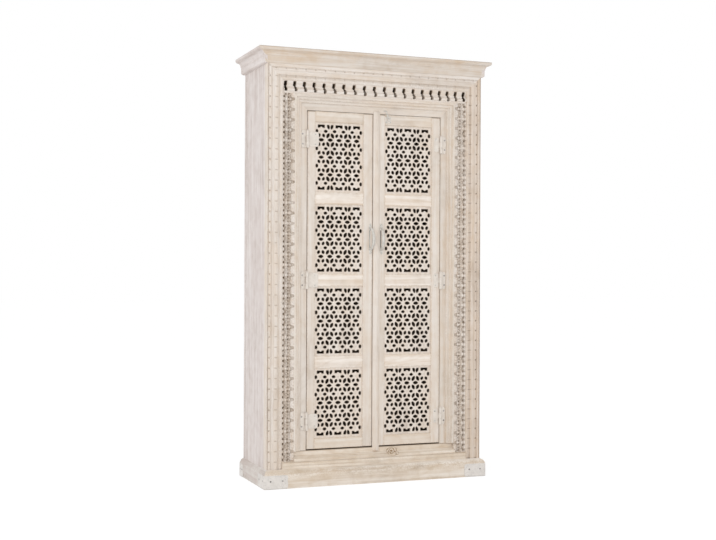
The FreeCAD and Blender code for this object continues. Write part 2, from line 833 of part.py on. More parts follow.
def build_latch():
    """A turning hook on the right leaf's top rail, over a staple on the head. Returns the plate's nails."""
    x = latch_x
    z = leaf_top - top_rail_height / 2
    half = latch_plate_size / 2
    y_plate = face_y - latch_plate_thickness
    y_bar = y_plate - latch_bar_standoff
    pivot_end = y_bar + latch_bar_thickness + latch_pivot_clearance
    stem_end = y_bar - latch_pivot_clearance
    stem_radius = latch_pivot_radius / 2
    plate = box(x - half, x + half, y_plate, face_y, z - half, z + half)
    boss = rod(latch_pivot_radius, V(x, y_plate, z), V(x, pivot_end, z))
    stem = rod(stem_radius, V(x, pivot_end, z), V(x, stem_end, z))
    cap = rod(latch_pivot_radius, V(x, stem_end, z), V(x, stem_end - latch_plate_thickness, z))
    save("right_latch_plate", plate.multiFuse([boss, stem, cap]).removeSplitter())

    lean = math.radians(latch_lean_angle)
    end_x = x - latch_bar_length * math.sin(lean)
    end_z = z + latch_bar_length * math.cos(lean)
    wide = latch_bar_width / 2
    eye = rod(latch_head_radius, V(x, y_bar + latch_bar_thickness, z), V(x, y_bar, z))
    bar = sweep(
        V(0, latch_bar_thickness, 0),
        V(x - wide, y_bar, z), V(end_x - wide / 2, y_bar, end_z), V(end_x + wide / 2, y_bar, end_z),
        V(x + wide, y_bar, z),
    )
    bore = rod(
        stem_radius + latch_pivot_clearance, V(x, y_bar - overrun, z), V(x, y_bar + overrun, z)
    )
    save("latch_hook", eye.fuse(bar).cut(bore).removeSplitter())

    staple_x = end_x
    staple_z = opening_top + head_strip_height / 2
    leg = staple_span / 2
    y_crown = strip_y - staple_reach + staple_wire_radius
    y_root = strip_y
    bends = [V(staple_x + side * leg, y_crown, staple_z) for side in (-1, 1)]
    pieces = []
    for bend in bends:
        pieces.append(rod(staple_wire_radius, V(bend.x, y_root, staple_z), bend))
        pieces.append(Part.makeSphere(staple_wire_radius, bend))
    crown = rod(staple_wire_radius, *bends)
    save("latch_staple", crown.multiFuse(pieces).removeSplitter())

    inset = half - nail_radius - latch_plate_thickness
    return [
        nail(V(x + sx * inset, y_plate, z + sz * inset), V(0, -1, 0)) for sx in (-1, 1) for sz in (-1, 1)
    ]


def build_door_stop():
    """A rebated batten behind the head that both leaves close against."""
    y_lip = leaf_back_y + stop_clearance
    y_end = frame_back_y + stop_depth
    block = box(-opening_edge, opening_edge, frame_back_y, y_end, opening_top, opening_top + stop_height)
    lip = box(-opening_edge, opening_edge, y_lip, y_end, opening_top - stop_lip, opening_top)
    save("door_stop", block.fuse(lip).removeSplitter())


def main():
    """Build every piece of the cabinet."""
    os.makedirs("parts", exist_ok=True)
    build_carcass()
    build_cornice()
    build_frame()
    build_brackets()
    build_petal_bands()
    build_courses()
    build_plinth()
    build_door_stop()
    iron_nails = build_corner_plates()

    leaf_edge = opening_edge - leaf_gap
    right_end = meeting_offset - astragal_width / 2
    left_end = right_end - meeting_gap
    build_leaf(
        "left", -leaf_edge, left_end, left_hinge_stile_width, left_meeting_stile_width,
        ("_hinge_stile", "_meeting_stile"),
    )
    build_leaf(
        "right", right_end, leaf_edge, right_meeting_stile_width, right_hinge_stile_width,
        ("_meeting_stile", "_hinge_stile"),
    )
    build_astragal()
    hinge_nails = build_hinges()
    latch_nails = build_latch()
    left_handle, left_nails = handle(left_end - handle_edge_distance, handle_lean)
    right_handle, right_nails = handle(right_handle_offset, -handle_lean)
    save("left_handle", left_handle)
    save("right_handle", right_handle)
    save("iron_nails", *(iron_nails + hinge_nails["frame"]))
    save("left_leaf_nails", *(left_nails + hinge_nails[-1]))
    save("right_leaf_nails", *(right_nails + hinge_nails[1] + latch_nails))


main()
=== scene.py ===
"""A tall whitewashed mango wood cabinet with pierced doors, dressed piece by piece around its solids.

Lengths are in metres. X runs to the cabinet's right, -Y is its front and Z is up. Every piece is a surface
worked out as whole arrays: rings of points carried along a board, a tube or a moulding, or a pierced grid.
"""

import json
import logging
import math
from dataclasses import dataclass, field, replace
from enum import Enum
from typing import Callable

import bpy
import numpy as np
from mathutils import Matrix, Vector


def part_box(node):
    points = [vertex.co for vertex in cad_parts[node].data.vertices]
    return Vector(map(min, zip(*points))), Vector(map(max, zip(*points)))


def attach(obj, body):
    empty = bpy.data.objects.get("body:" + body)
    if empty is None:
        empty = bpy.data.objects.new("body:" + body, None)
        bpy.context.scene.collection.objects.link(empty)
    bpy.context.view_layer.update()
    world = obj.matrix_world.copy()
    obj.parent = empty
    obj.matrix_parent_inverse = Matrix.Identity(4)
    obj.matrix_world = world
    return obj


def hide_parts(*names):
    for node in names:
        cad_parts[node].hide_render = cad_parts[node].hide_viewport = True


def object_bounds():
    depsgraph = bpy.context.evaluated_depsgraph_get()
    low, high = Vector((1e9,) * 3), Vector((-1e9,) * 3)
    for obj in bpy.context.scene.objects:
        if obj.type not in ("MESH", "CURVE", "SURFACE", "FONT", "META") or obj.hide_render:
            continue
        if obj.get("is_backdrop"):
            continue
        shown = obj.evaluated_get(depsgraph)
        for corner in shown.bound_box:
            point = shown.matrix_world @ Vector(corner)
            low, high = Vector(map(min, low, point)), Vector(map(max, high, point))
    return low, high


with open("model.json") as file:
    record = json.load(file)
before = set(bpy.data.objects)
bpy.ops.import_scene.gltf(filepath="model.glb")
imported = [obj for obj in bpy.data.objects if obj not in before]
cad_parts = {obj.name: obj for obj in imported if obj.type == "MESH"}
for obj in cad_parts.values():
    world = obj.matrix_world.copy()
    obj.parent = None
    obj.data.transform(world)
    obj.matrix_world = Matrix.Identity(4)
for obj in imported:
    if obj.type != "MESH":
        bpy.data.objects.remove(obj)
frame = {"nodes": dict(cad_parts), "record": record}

Array = np.ndarray
Points = tuple[Array, Array, Array]
Field = Callable[[Array, Array], Array]
Triple = tuple[float, float, float]
Socket = bpy.types.NodeSocket
Node = bpy.types.Node
log = logging.getLogger("cabinet")
BODY_OF = {node: body for body, nodes in frame["record"]["behaviour"]["bodies"].items() for node in nodes}
CORNER_STEPS = 4
# How dark the walls inside pierced holes are painted: painted shade.
WALL_SHADE = 0.95
CREASE = math.radians(48)
WHITE = (1, 1, 1, 1)
LOOKS_INSIDE = 0.77
RUBBED_AND_SUNK = ("rubbed", "sunk")


class Axis(Enum):
    """The direction that a board and its grain run along."""

    X = 0
    Y = 1
    Z = 2


class Side(Enum):
    """The cabinet's two sides, as the sign of X."""

    LEFT = -1
    RIGHT = 1

    @property
    def word(self) -> str:
        """The side's name as the nodes spell it."""
        return self.name.lower()


@dataclass(frozen=True)
class Block:
    """The space between two corners."""

    low: Array
    high: Array

    @classmethod
    def of(cls, node: str) -> "Block":
        """Return the space that a node takes at rest."""
        low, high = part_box(node)
        return cls(np.array(low), np.array(high))

    @property
    def middle(self) -> Array:
        """The centre point."""
        return (self.low + self.high) / 2

    @property
    def size(self) -> Array:
        """The length along each axis."""
        return self.high - self.low

    def limited(self, **spans: tuple[float, float]) -> "Block":
        """Return the block with new limits along the axes that are named: x, y or z."""
        low = np.array(self.low, float)
        high = np.array(self.high, float)
        for name, (start, end) in spans.items():
            axis = "xyz".index(name)
            low[axis] = start
            high[axis] = end
        return Block(low, high)

    def places(self, axis: Axis, cell: float) -> Array:
        """Return even places along one axis, about a cell apart."""
        k = axis.value
        return np.linspace(self.low[k], self.high[k], int(self.size[k] / cell) + 1)


def solid_blocks(node: str) -> list[Block]:
    """Return the space of each separate solid in a node.

    Corners at the same place are one point. Every point takes the lowest label among its triangles until
    nothing changes, so that each solid ends with one label of its own.

    Args:
        node: The name of the CAD node.

    Returns:
        One block a solid, ordered by its lowest corner from the floor up and from left to right.
    """
    mesh = frame["nodes"][node].data
    corners = np.empty(len(mesh.vertices) * 3, np.float32)
    mesh.vertices.foreach_get("co", corners)
    corners = corners.reshape(-1, 3)
    index = np.empty(len(mesh.loops), np.int32)
    mesh.loops.foreach_get("vertex_index", index)
    places, same = np.unique(np.round(corners, 6), axis=0, return_inverse=True)
    triangles = same.ravel()[index].reshape(-1, 3)
    labels = np.arange(len(places))
    while True:
        before = labels.copy()
        np.minimum.at(labels, triangles.ravel(), np.repeat(labels[triangles].min(axis=1), 3))
        if np.array_equal(before, labels):
            break
    blocks = [Block(places[labels == one].min(0), places[labels == one].max(0)) for one in np.unique(labels)]
    return sorted(blocks, key=lambda block: (round(block.low[2], 3), round(block.low[0], 3), block.low[1]))


def ripple(*coordinates: Array, seed: int, length: float) -> Array:
    """Return a smooth uneven value between -1 and 1: a mean of sines with turned and shifted waves.

    Args:
        coordinates: One, two or three arrays of the same shape, in metres.
        seed: Chooses the turns and shifts.
        length: The longest wave.

    Returns:
        An array of the coordinates' shape.
    """
    random = np.random.default_rng(seed)
    total = 0.0
    waves = 5
    for i in range(waves):
        turn = random.normal(size=len(coordinates))
        turn /= np.linalg.norm(turn)
        phase = sum(c * t for c, t in zip(coordinates, turn)) * math.tau * (1 + 0.6 * i) / length
        total = total + np.sin(phase + random.uniform(0, math.tau))
    return total / waves


def uneven(amount: float, *coordinates: Array, seed: int, length: float) -> Array:
    """Return a ripple between 0 and an amount."""
    return amount * (1 + ripple(*coordinates, seed=seed, length=length)) / 2


def smoothed(values: Array, reach: int) -> Array:
    """Return a grid averaged over a square of cells, by running sums along both directions."""
    width = 2 * reach + 1
    for axis in (0, 1):
        pad = [(0, 0), (0, 0)]
        pad[axis] = (reach + 1, reach)
        total = np.cumsum(np.pad(values, pad, mode="edge"), axis=axis)
        upper = np.take(total, np.arange(width, total.shape[axis]), axis=axis)
        lower = np.take(total, np.arange(0, total.shape[axis] - width), axis=axis)
        values = (upper - lower) / width
    return values


def eased(x: Array, stations: list[float], values: list[float]) -> Array:
    """Return values between stations along half cosine waves, so that each station is level."""
    at = np.asarray(stations, float)
    level = np.asarray(values, float)
    left = np.clip(np.searchsorted(at, x, side="right") - 1, 0, len(at) - 2)
    share = np.clip((x - at[left]) / (at[left + 1] - at[left]), 0, 1)
    return level[left] + (level[left + 1] - level[left]) * (1 - np.cos(math.pi * share)) / 2


def near(distance: Array, width: float) -> Array:
    """Return 1 at no distance, falling in a smooth bell to nearly 0 at twice the width."""
    return np.exp(-np.square(distance / width))


def arc(distance: Array, start: float, end: float) -> Array:
    """Return 1 half way between two places, and 0 at both and outside them, along a parabola."""
    return np.clip(1 - np.square((distance - (start + end) / 2) / ((end - start) / 2)), 0, 1)


def rings_of(first: Array, second: Array, third: Array, order: tuple[int, int, int] = (0, 1, 2)) -> Array:
    """Return rings of points from three coordinates that spread over them, on the axes in order."""
    parts = dict(zip(order, (first, second, third)))
    return np.stack(np.broadcast_arrays(parts[0], parts[1], parts[2]), -1)


def grid_quads(rows: int, columns: int, ring: bool) -> Array:
    """Return the four corner numbers of each cell of a grid, joined round each row for a ring."""
    i = np.arange(rows - 1)[:, None]
    j = np.arange(columns if ring else columns - 1)[None, :]
    k = (j + 1) % columns
    corners = (i * columns + j, i * columns + k, (i + 1) * columns + k, (i + 1) * columns + j)
    shape = (rows - 1, j.size)
    return np.stack([np.broadcast_to(corner, shape) for corner in corners], -1).reshape(-1, 4)


@dataclass
class Skin:
    """A closed surface, with how rubbed and how sunk each of its points is, from 0 to 1. Sunk is how dark a
    point is painted: brown glaze, and also painted shade in hollows, gaps and on shaded sides.
    """

    points: Array
    faces: list[Array]
    rubbed: Array
    sunk: Array

    @classmethod
    def joined(cls, skins: list["Skin"]) -> "Skin":
        """Return several skins as one."""
        faces = []
        count = 0
        for skin in skins:
            faces += [part + count for part in skin.faces]
            count += len(skin.points)
        points, rubbed, sunk = (
            np.concatenate([getattr(skin, part) for skin in skins]) for part in ("points", *RUBBED_AND_SUNK)
        )
        return cls(points, faces, rubbed, sunk)

    def outward(self) -> "Skin":
        """Return the skin with its faces turned outwards: the space that they enclose is then positive."""
        space = 0.0
        for part in self.faces:
            first = self.points[part[:, 0]]
            for k in range(1, part.shape[1] - 1):
                second = self.points[part[:, k]]
                third = self.points[part[:, k + 1]]
                space += np.einsum("ij,ij->", first, np.cross(second, third))
        if space < 0:
            self.faces = [part[:, ::-1] for part in self.faces]
        return self

    def painted_shade_at(self, axis: Axis, place: float, level: float, reach: float = 0.0007) -> "Skin":
        """Return the skin with its points near one place on an axis painted dark to a level: painted shade in
        the gap beside a joint.
        """
        self.sunk = np.where(np.abs(self.points[:, axis.value] - place) < reach, level, self.sunk)
        return self

    def mirrored(self) -> "Skin":
        """Return the copy on the cabinet's other side."""
        points = self.points * np.array([-1.0, 1.0, 1.0])
        return Skin(points, [part[:, ::-1] for part in self.faces], self.rubbed, self.sunk)


def loft(rings: Array, rubbed: Array | float = 0.0, sunk: Array | float = 0.0) -> Skin:
    """Return the closed skin over rings of points: cells between neighbours and a face on each end.

    Args:
        rings: Points as stations by points round the ring by three.
        rubbed: How rubbed each point is, in a shape that spreads over the rings.
        sunk: How sunk each point is, likewise.

    Returns:
        The skin, turned outwards.
    """
    rows, columns = rings.shape[:2]
    last = (rows - 1) * columns
    caps = [np.arange(columns)[None, ::-1], last + np.arange(columns)[None, :]]
    marks = [np.broadcast_to(mark, (rows, columns)).ravel().astype(float) for mark in (rubbed, sunk)]
    return Skin(rings.reshape(-1, 3), [grid_quads(rows, columns, True)] + caps, *marks).outward()


def tube(path: Array, radii: Array, across: Triple, sides: int = 12, **marks) -> Skin:
    """Return round rings of changing radius, square to a path. The first side points across it.

    Args:
        path: The middle line's points.
        radii: The radius at each point.
        across: A direction that is never along the path.
        sides: The points round each ring.
        marks: rubbed and sunk, as loft takes them.

    Returns:
        The closed skin.
    """
    along = np.gradient(path, axis=0)
    along /= np.linalg.norm(along, axis=1, keepdims=True)
    flat = np.asarray(across, float) - along * (along @ np.asarray(across, float))[:, None]
    flat /= np.linalg.norm(flat, axis=1, keepdims=True)
    upright = np.cross(along, flat)
    angle = np.arange(sides) * math.tau / sides
    spokes = flat[:, None] * np.cos(angle)[None, :, None] + upright[:, None] * np.sin(angle)[None, :, None]
    return loft(path[:, None] + spokes * radii[:, None, None], **marks)


def rod(start: Array, way: Array, radius: float, profile: tuple, sides: int,
        across: Triple = (1, 0, 0)) -> Skin:
    """Return a straight round rod.

    Args:
        start: Its first point.
        way: The way from there to its last point.
        radius: The radius that counts as 1.
        profile: Each ring's share of the way and of the radius, and how rubbed it is.
        sides: The points round each ring.
        across: A direction that isn't along the rod.

    Returns:
        The closed skin.
    """
    share, width, rubbed = np.array(profile, float).T
    return tube(start + way * share[:, None], radius * width, across, sides, rubbed=rubbed[:, None])


def rounded_outline(width: float, height: float, radius: float, strip: float) -> tuple[Array, Array]:
    """Return a rectangle's outline with quarter-round corners, and how rubbed its points are.

    Each corner is a quarter circle between two points that lie a strip's width along the sides.

    Args:
        width: The size along the first direction.
        height: The size along the second.
        radius: The corners' radius.
        strip: The width of the rubbed strip beside each corner.

    Returns:
        The points as rows of two, about the middle, and one rubbed value a point.
    """
    angle = np.linspace(0, math.pi / 2, CORNER_STEPS)
    reach = min(strip, 0.45 * width, 0.45 * height)
    points = []
    rubbed = []
    for turn in range(4):
        long, short = (width, height) if turn % 2 == 0 else (height, width)
        arc_x = long / 2 - radius + radius * np.sin(angle)
        arc_y = -short / 2 + radius - radius * np.cos(angle)
        x = np.concatenate([[long / 2 - reach], arc_x, [long / 2]])
        y = np.concatenate([[-short / 2], arc_y, [-short / 2 + reach]])
        quarter = {0: (x, y), 1: (-y, x), 2: (-x, -y), 3: (y, -x)}[turn]
        points.append(np.stack(quarter, -1))
        rubbed.append(np.concatenate([[0.0], np.ones(CORNER_STEPS), [0.0]]))
    return np.concatenate(points), np.concatenate(rubbed)


@dataclass(frozen=True)
class Edging:
    """How a board's edges and faces are finished by hand."""

    radius: float = 0.0015
    strip: float = 0.007
    wave: float = 0.0004
    wave_length: float = 0.5
    step: float = 0.05


def board(block: Block, grain: Axis, seed: int, edging: Edging = Edging()) -> Skin:
    """Return a board with soft edges whose sides wander a little along the grain.

    Rings of a rounded rectangle stand along the grain. At each end they shrink along a quarter circle, and
    between the ends their two half sizes lose a small uneven amount.

    Args:
        block: The space that the board fills.
        grain: The direction of its length.
        seed: Chooses the unevenness.
        edging: The edges' sizes.

    Returns:
        The closed skin.
    """
    order = {Axis.X: (1, 2, 0), Axis.Y: (2, 0, 1), Axis.Z: (0, 1, 2)}[grain]
    first, second, length = block.size[list(order)]
    radius = min(edging.radius, 0.4 * first, 0.4 * second, 0.2 * length)
    outline, ring_rub = rounded_outline(first, second, radius, edging.strip)
    angle = np.linspace(0, math.pi / 2, CORNER_STEPS)
    start = np.concatenate([radius * (1 - np.cos(angle)), [min(edging.strip, 0.3 * length)]])
    shrink = np.concatenate([radius * (1 - np.sin(angle)), [0.0]])
    end_rub = np.concatenate([np.ones(CORNER_STEPS), [0.0]])
    count = max(int(length / edging.step), 2)
    inner = np.linspace(start[-1], length - start[-1], count)[1:-1]
    along = np.concatenate([start, inner, length - start[::-1]])
    inset = np.concatenate([shrink, np.zeros(len(inner)), shrink[::-1]])
    rub = np.concatenate([end_rub, np.zeros(len(inner)), end_rub[::-1]])
    lost = 2 * (inset + uneven(edging.wave, along, seed=seed, length=edging.wave_length))
    rings = rings_of(
        outline[:, 0] * (1 - lost / first)[:, None], outline[:, 1] * (1 - lost / second)[:, None],
        (along - length / 2)[:, None], order,
    )
    return loft(rings + block.middle, rubbed=np.maximum(ring_rub, rub[:, None]))


def relief(across: Array, along: Array, depth: Field, place: Callable, back: float, wear: float = 900.0,
           sink: float = 0.012, fall: float = 0.05, sink_reach: int = 6) -> Skin:
    """Return a carved board: a grid of depths on its front and one flat face behind.

    Each station along the board is a ring of the front's points and two back corners. A point is rubbed
    where it stands proud of the average round it, and sunk where it lies deeper than a wider average or below
    its highest point: brown glaze that is also painted shade in the hollows.

    Args:
        across: Distances across the board.
        along: Distances along it, as shares of its length or as lengths.
        depth: Gives a depth for each pair of distances.
        place: Turns a pair of distances and a depth into X, Y and Z.
        back: The depth of the flat face.
        wear: How rubbed a point is for each metre that it stands proud.
        sink: The depth below the average that counts as fully sunk.
        fall: The depth below the highest point that counts as fully sunk.
        sink_reach: The cells that the wider average takes on each side.

    Returns:
        The closed skin.
    """
    w, v = np.meshgrid(across, along)
    deep = depth(w, v)
    proud = np.clip((smoothed(deep, 2) - deep) * wear, 0, 1)
    # Hollows are painted darker with depth: glaze together with painted shade.
    low = np.clip((deep - smoothed(deep, sink_reach)) / sink + (deep - deep.min()) / fall, 0, 1)
    front = np.stack(place(w, v, deep), -1)
    edge_w = np.stack([w[:, -1], w[:, 0]], -1)
    edge_v = np.stack([v[:, -1], v[:, 0]], -1)
    behind = np.stack(place(edge_w, edge_v, np.full_like(edge_w, back)), -1)
    flat = np.zeros_like(edge_w)
    return loft(
        np.concatenate([front, behind], axis=1),
        rubbed=np.concatenate([proud, flat], axis=1), sunk=np.concatenate([low, flat], axis=1),
    )


def pierced(xs: Array, zs: Array, clear: Field, front: Callable, back_y: float, rim: float,
            lip: float = 0.0010, rim_shade: float = 0.0) -> Skin:
    """Return a board pierced by holes, with its grid fitted to their edges.

    clear gives the distance to the nearest hole's edge, negative inside a hole. A grid point closer to an
    edge than half a cell moves onto it, against the distance's slope. Cells with no corner inside a hole
    stay, those with one corner inside lose it and stay as triangles, and walls join the front's open edges
    to the same edges on the back. The walls have a row just behind the front and one just before the back,
    and are painted dark between the two: painted shade inside the holes.

    Args:
        xs: The grid's places along X.
        zs: The grid's places along Z.
        clear: The distance field.
        front: Gives the front face's Y for X, Z and the distance.
        back_y: The back face's Y.
        rim: The width of the rubbed strip round each hole.
        lip: The distance of the walls' two inner rows from the front and the back.
        rim_shade: How dark the front is painted at a hole's edge: painted shade round the hole.

    Returns:
        The closed skin.
    """
    x, z = np.meshgrid(xs, zs)
    rows, columns = x.shape
    cell = max(xs[1] - xs[0], zs[1] - zs[0])
    reach = cell / 2
    step = cell / 20
    inner = np.zeros(x.shape, bool)
    inner[1:-1, 1:-1] = True
    space = clear(x, z)
    snapped = (np.abs(space) < reach) & inner
    for _ in range(2):
        near_x = x[snapped]
        near_z = z[snapped]
        here = clear(near_x, near_z)
        slope_x = (clear(near_x + step, near_z) - clear(near_x - step, near_z)) / (2 * step)
        slope_z = (clear(near_x, near_z + step) - clear(near_x, near_z - step)) / (2 * step)
        steep = np.maximum(slope_x ** 2 + slope_z ** 2, 0.3)
        x[snapped] -= np.clip(here * slope_x / steep, -reach, reach)
        z[snapped] -= np.clip(here * slope_z / steep, -reach, reach)
    space[snapped] = 0.0
    hole = (space < 0).ravel()
    cells = grid_quads(rows, columns, False)
    flat_x = x.ravel()
    flat_z = z.ravel()
    middle = clear(flat_x[cells].mean(axis=1), flat_z[cells].mean(axis=1))
    inside = hole[cells]
    count = inside.sum(axis=1)
    touching = (space.ravel()[cells] > 0).sum(axis=1)
    quads = cells[(count == 0) & ((middle > 0) | (touching > 1))]
    corner = cells[(count == 1) & (touching > 0)]
    first = np.argmax(hole[corner], axis=1)
    turned = (first[:, None] + np.arange(1, 4)[None, :]) % 4
    triangles = np.take_along_axis(corner, turned, axis=1)
    total = rows * columns
    starts = np.concatenate([part.ravel() for part in (quads, triangles)])
    ends = np.concatenate([np.roll(part, -1, axis=1).ravel() for part in (quads, triangles)])
    open_edge = ~np.isin(starts * total + ends, ends * total + starts)
    a = starts[open_edge]
    b = ends[open_edge]
    walls = [np.stack([b + k, a + k, a + k + total, b + k + total], -1) for k in (0, total, 2 * total)]
    flat_space = space.ravel()
    front_points = np.stack([flat_x, front(flat_x, flat_z, flat_space), flat_z], -1)
    lip_points = front_points + np.array([0, lip, 0])
    back_points = np.stack([flat_x, np.full(total, back_y), flat_z], -1)
    points = np.concatenate([front_points, lip_points, back_points - np.array([0, lip, 0]), back_points])
    faces = [quads, triangles, quads[:, ::-1] + 3 * total, triangles[:, ::-1] + 3 * total, *walls]
    used = np.zeros(4 * total, bool)
    for part in faces:
        used[part.ravel()] = True
    number = np.cumsum(used) - 1
    rubbed = np.concatenate([near(flat_space, rim), np.zeros(3 * total)])
    # The front is painted darker at each hole's edge: painted shade round the hole.
    glaze = rim_shade * near(flat_space, rim)
    sunk = np.concatenate([glaze, np.full(2 * total, WALL_SHADE), glaze])
    return Skin(points[used], [number[part] for part in faces], rubbed[used], sunk[used]).outward()


class Graph:
    """Adds nodes to one node tree, with each input given by its name or number."""

    def __init__(self, tree: bpy.types.NodeTree) -> None:
        """Keep the tree that the nodes go into."""
        self.tree = tree

    def add(self, kind: str, inputs: dict | None = None, **settings) -> Node:
        """Add one node.

        Args:
            kind: The node's type.
            inputs: A socket to link or a value to set, by the input's name or number.
            settings: The node's own options.

        Returns:
            The node.
        """
        node = self.tree.nodes.new(kind)
        for key, value in settings.items():
            setattr(node, key, value)
        self.feed(node, inputs or {})
        return node

    def feed(self, node: Node, inputs: dict) -> None:
        """Link sockets to a node's inputs, or set their values."""
        for key, value in inputs.items():
            if isinstance(value, Socket):
                self.tree.links.new(value, node.inputs[key])
            else:
                node.inputs[key].default_value = value

    def math(self, operation: str, first, second=0.0, third=0.0, clamp: bool = False) -> Socket:
        """Return the result of one sum on two or three values."""
        inputs = {0: first, 1: second, 2: third}
        return self.add("ShaderNodeMath", inputs, operation=operation, use_clamp=clamp).outputs[0]

    def product(self, first, *others, clamp: bool = False) -> Socket:
        """Return values multiplied in turn, with the last product kept between 0 and 1 if clamped."""
        for i, other in enumerate(others):
            first = self.math("MULTIPLY", first, other, clamp=clamp and i == len(others) - 1)
        return first

    def mix(self, share, first, second) -> Socket:
        """Return one colour faded into another."""
        return self.add("ShaderNodeMix", {0: share, 6: first, 7: second}, data_type="RGBA").outputs[2]

    def ramp(self, value, low: float, high: float, start: float = 0.0, end: float = 1.0) -> Socket:
        """Return a value taken smoothly from one range to another."""
        inputs = {"Value": value, "From Min": low, "From Max": high, "To Min": start, "To Max": end}
        return self.add("ShaderNodeMapRange", inputs, interpolation_type="SMOOTHSTEP").outputs[0]

    def stretch(self, vector, x: float, y: float, z: float) -> Socket:
        """Return coordinates multiplied along each axis."""
        return self.add("ShaderNodeVectorMath", {0: vector, 1: (x, y, z)}, operation="MULTIPLY").outputs[0]

    def noise(self, vector, scale: float, detail: float = 3.0, bend: float = 0.0) -> Socket:
        """Return cloudy noise, from about 0.3 to 0.7."""
        inputs = {"Vector": vector, "Scale": scale, "Detail": detail, "Distortion": bend}
        return self.add("ShaderNodeTexNoise", inputs).outputs[0]


class NodeGroup:
    """A shared effect: a shader node group with named inputs and outputs, built once."""

    def __init__(self, name: str, inputs: dict[str, str], outputs: dict[str, str]) -> None:
        """Make the group and its sockets.

        Args:
            name: The group's name.
            inputs: The kind of socket by name.
            outputs: Likewise.
        """
        self.tree = bpy.data.node_groups.new(name, "ShaderNodeTree")
        for label, kind in inputs.items():
            self.tree.interface.new_socket(name=label, in_out="INPUT", socket_type=kind)
        for label, kind in outputs.items():
            self.tree.interface.new_socket(name=label, in_out="OUTPUT", socket_type=kind)
        self.graph = Graph(self.tree)
        self.start = self.tree.nodes.new("NodeGroupInput").outputs
        self.end = self.tree.nodes.new("NodeGroupOutput").inputs

    def finish(self, **results: Socket) -> "NodeGroup":
        """Link the results to the group's outputs, with spaces in their names as underscores."""
        for label, socket in results.items():
            self.tree.links.new(socket, self.end[label.replace("_", " ")])
        return self

    def place(self, graph: Graph, inputs: dict) -> Node:
        """Put the group into another tree with its own values."""
        return graph.add("ShaderNodeGroup", inputs, node_tree=self.tree)


VALUE = "NodeSocketFloat"
COLOUR = "NodeSocketColor"
VECTOR = "NodeSocketVector"


def mango_grain() -> NodeGroup:
    """Build the grain of mango wood along Z.

    Streaks are noise drawn out along the grain, at two widths. The figure is a sine of slow noise, which
    gives the arched lines of a sawn face. Pores are short thin noise, and warmth is a patchy slow noise.
    """
    group = NodeGroup("mango_grain", {"Vector": VECTOR}, {
        "Streak": VALUE, "Fine streak": VALUE, "Figure": VALUE, "Pores": VALUE, "Warmth": VALUE,
    })
    g = group.graph
    vector = group.start["Vector"]
    streak = g.ramp(g.noise(g.stretch(vector, 1, 1, 0.035), 62, 3, 0.2), 0.36, 0.64)
    fine = g.ramp(g.noise(g.stretch(vector, 1, 1, 0.02), 330, 2), 0.34, 0.66)
    slow = g.noise(g.stretch(vector, 1, 1, 0.16), 5.5, 2, 0.6)
    wave = g.math("SINE", g.product(slow, 95.0))
    figure = g.math("MULTIPLY_ADD", wave, 0.5, 0.5)
    pores = g.ramp(g.noise(g.stretch(vector, 1, 1, 0.06), 820, 2), 0.56, 0.72)
    warmth = g.ramp(g.noise(g.stretch(vector, 1, 1, 0.45), 7.0, 4, 0.8), 0.45, 0.72)
    return group.finish(Streak=streak, Fine_streak=fine, Figure=figure, Pores=pores, Warmth=warmth)


def whitewash() -> NodeGroup:
    """Build the white wash over the wood.

    The wash thins with the streaks and the figure, and is rubbed through in ragged spots along the edges. In
    the carving and wherever a point is sunk it is covered by a brown glaze, which also serves as painted
    shade in hollows, gaps and on shaded sides. Height falls in the pores and rises in a dry brush mark.
    """
    group = NodeGroup("whitewash", {
        "Vector": VECTOR, "Streak": VALUE, "Fine streak": VALUE, "Figure": VALUE, "Pores": VALUE,
        "Warmth": VALUE, "Rubbed": VALUE, "Sunk": VALUE, "Wash": COLOUR, "Wood": COLOUR, "Glaze": COLOUR,
        "Thinness": VALUE, "Wear": VALUE,
    }, {"Colour": COLOUR, "Roughness": VALUE, "Height": VALUE})
    g = group.graph
    s = group.start
    cloud = g.ramp(g.noise(s["Vector"], 23, 5, 0.4), 0.38, 0.68)
    spots = g.ramp(g.noise(s["Vector"], 170, 4, 0.5), 0.42, 0.6)
    grain = g.math("MULTIPLY_ADD", s["Fine streak"], 0.2, g.product(s["Streak"], 0.55))
    lines = g.math("MULTIPLY_ADD", g.math("POWER", s["Figure"], 5.0), 0.25, grain)
    thin = g.math("MULTIPLY_ADD", cloud, 0.3, lines)
    warm = g.mix(g.product(s["Warmth"], 0.5), s["Wood"], s["Glaze"])
    washed = g.mix(g.product(thin, s["Thinness"]), s["Wash"], warm)
    worn = g.mix(g.product(s["Rubbed"], spots, s["Wear"], 0.5, clamp=True), washed, warm)
    deep = g.add("ShaderNodeHueSaturation", {"Value": 0.45, "Color": s["Glaze"]}).outputs[0]
    brown = g.mix(g.product(s["Sunk"], 1.3, clamp=True), worn, s["Glaze"])
    colour = g.mix(g.ramp(s["Sunk"], 0.6, 1.0), brown, deep)
    rough = g.math("MULTIPLY_ADD", cloud, 0.2, 0.62)
    height = g.math("SUBTRACT", g.product(s["Fine streak"], 0.5), s["Pores"])
    return group.finish(Colour=colour, Roughness=rough, Height=height)


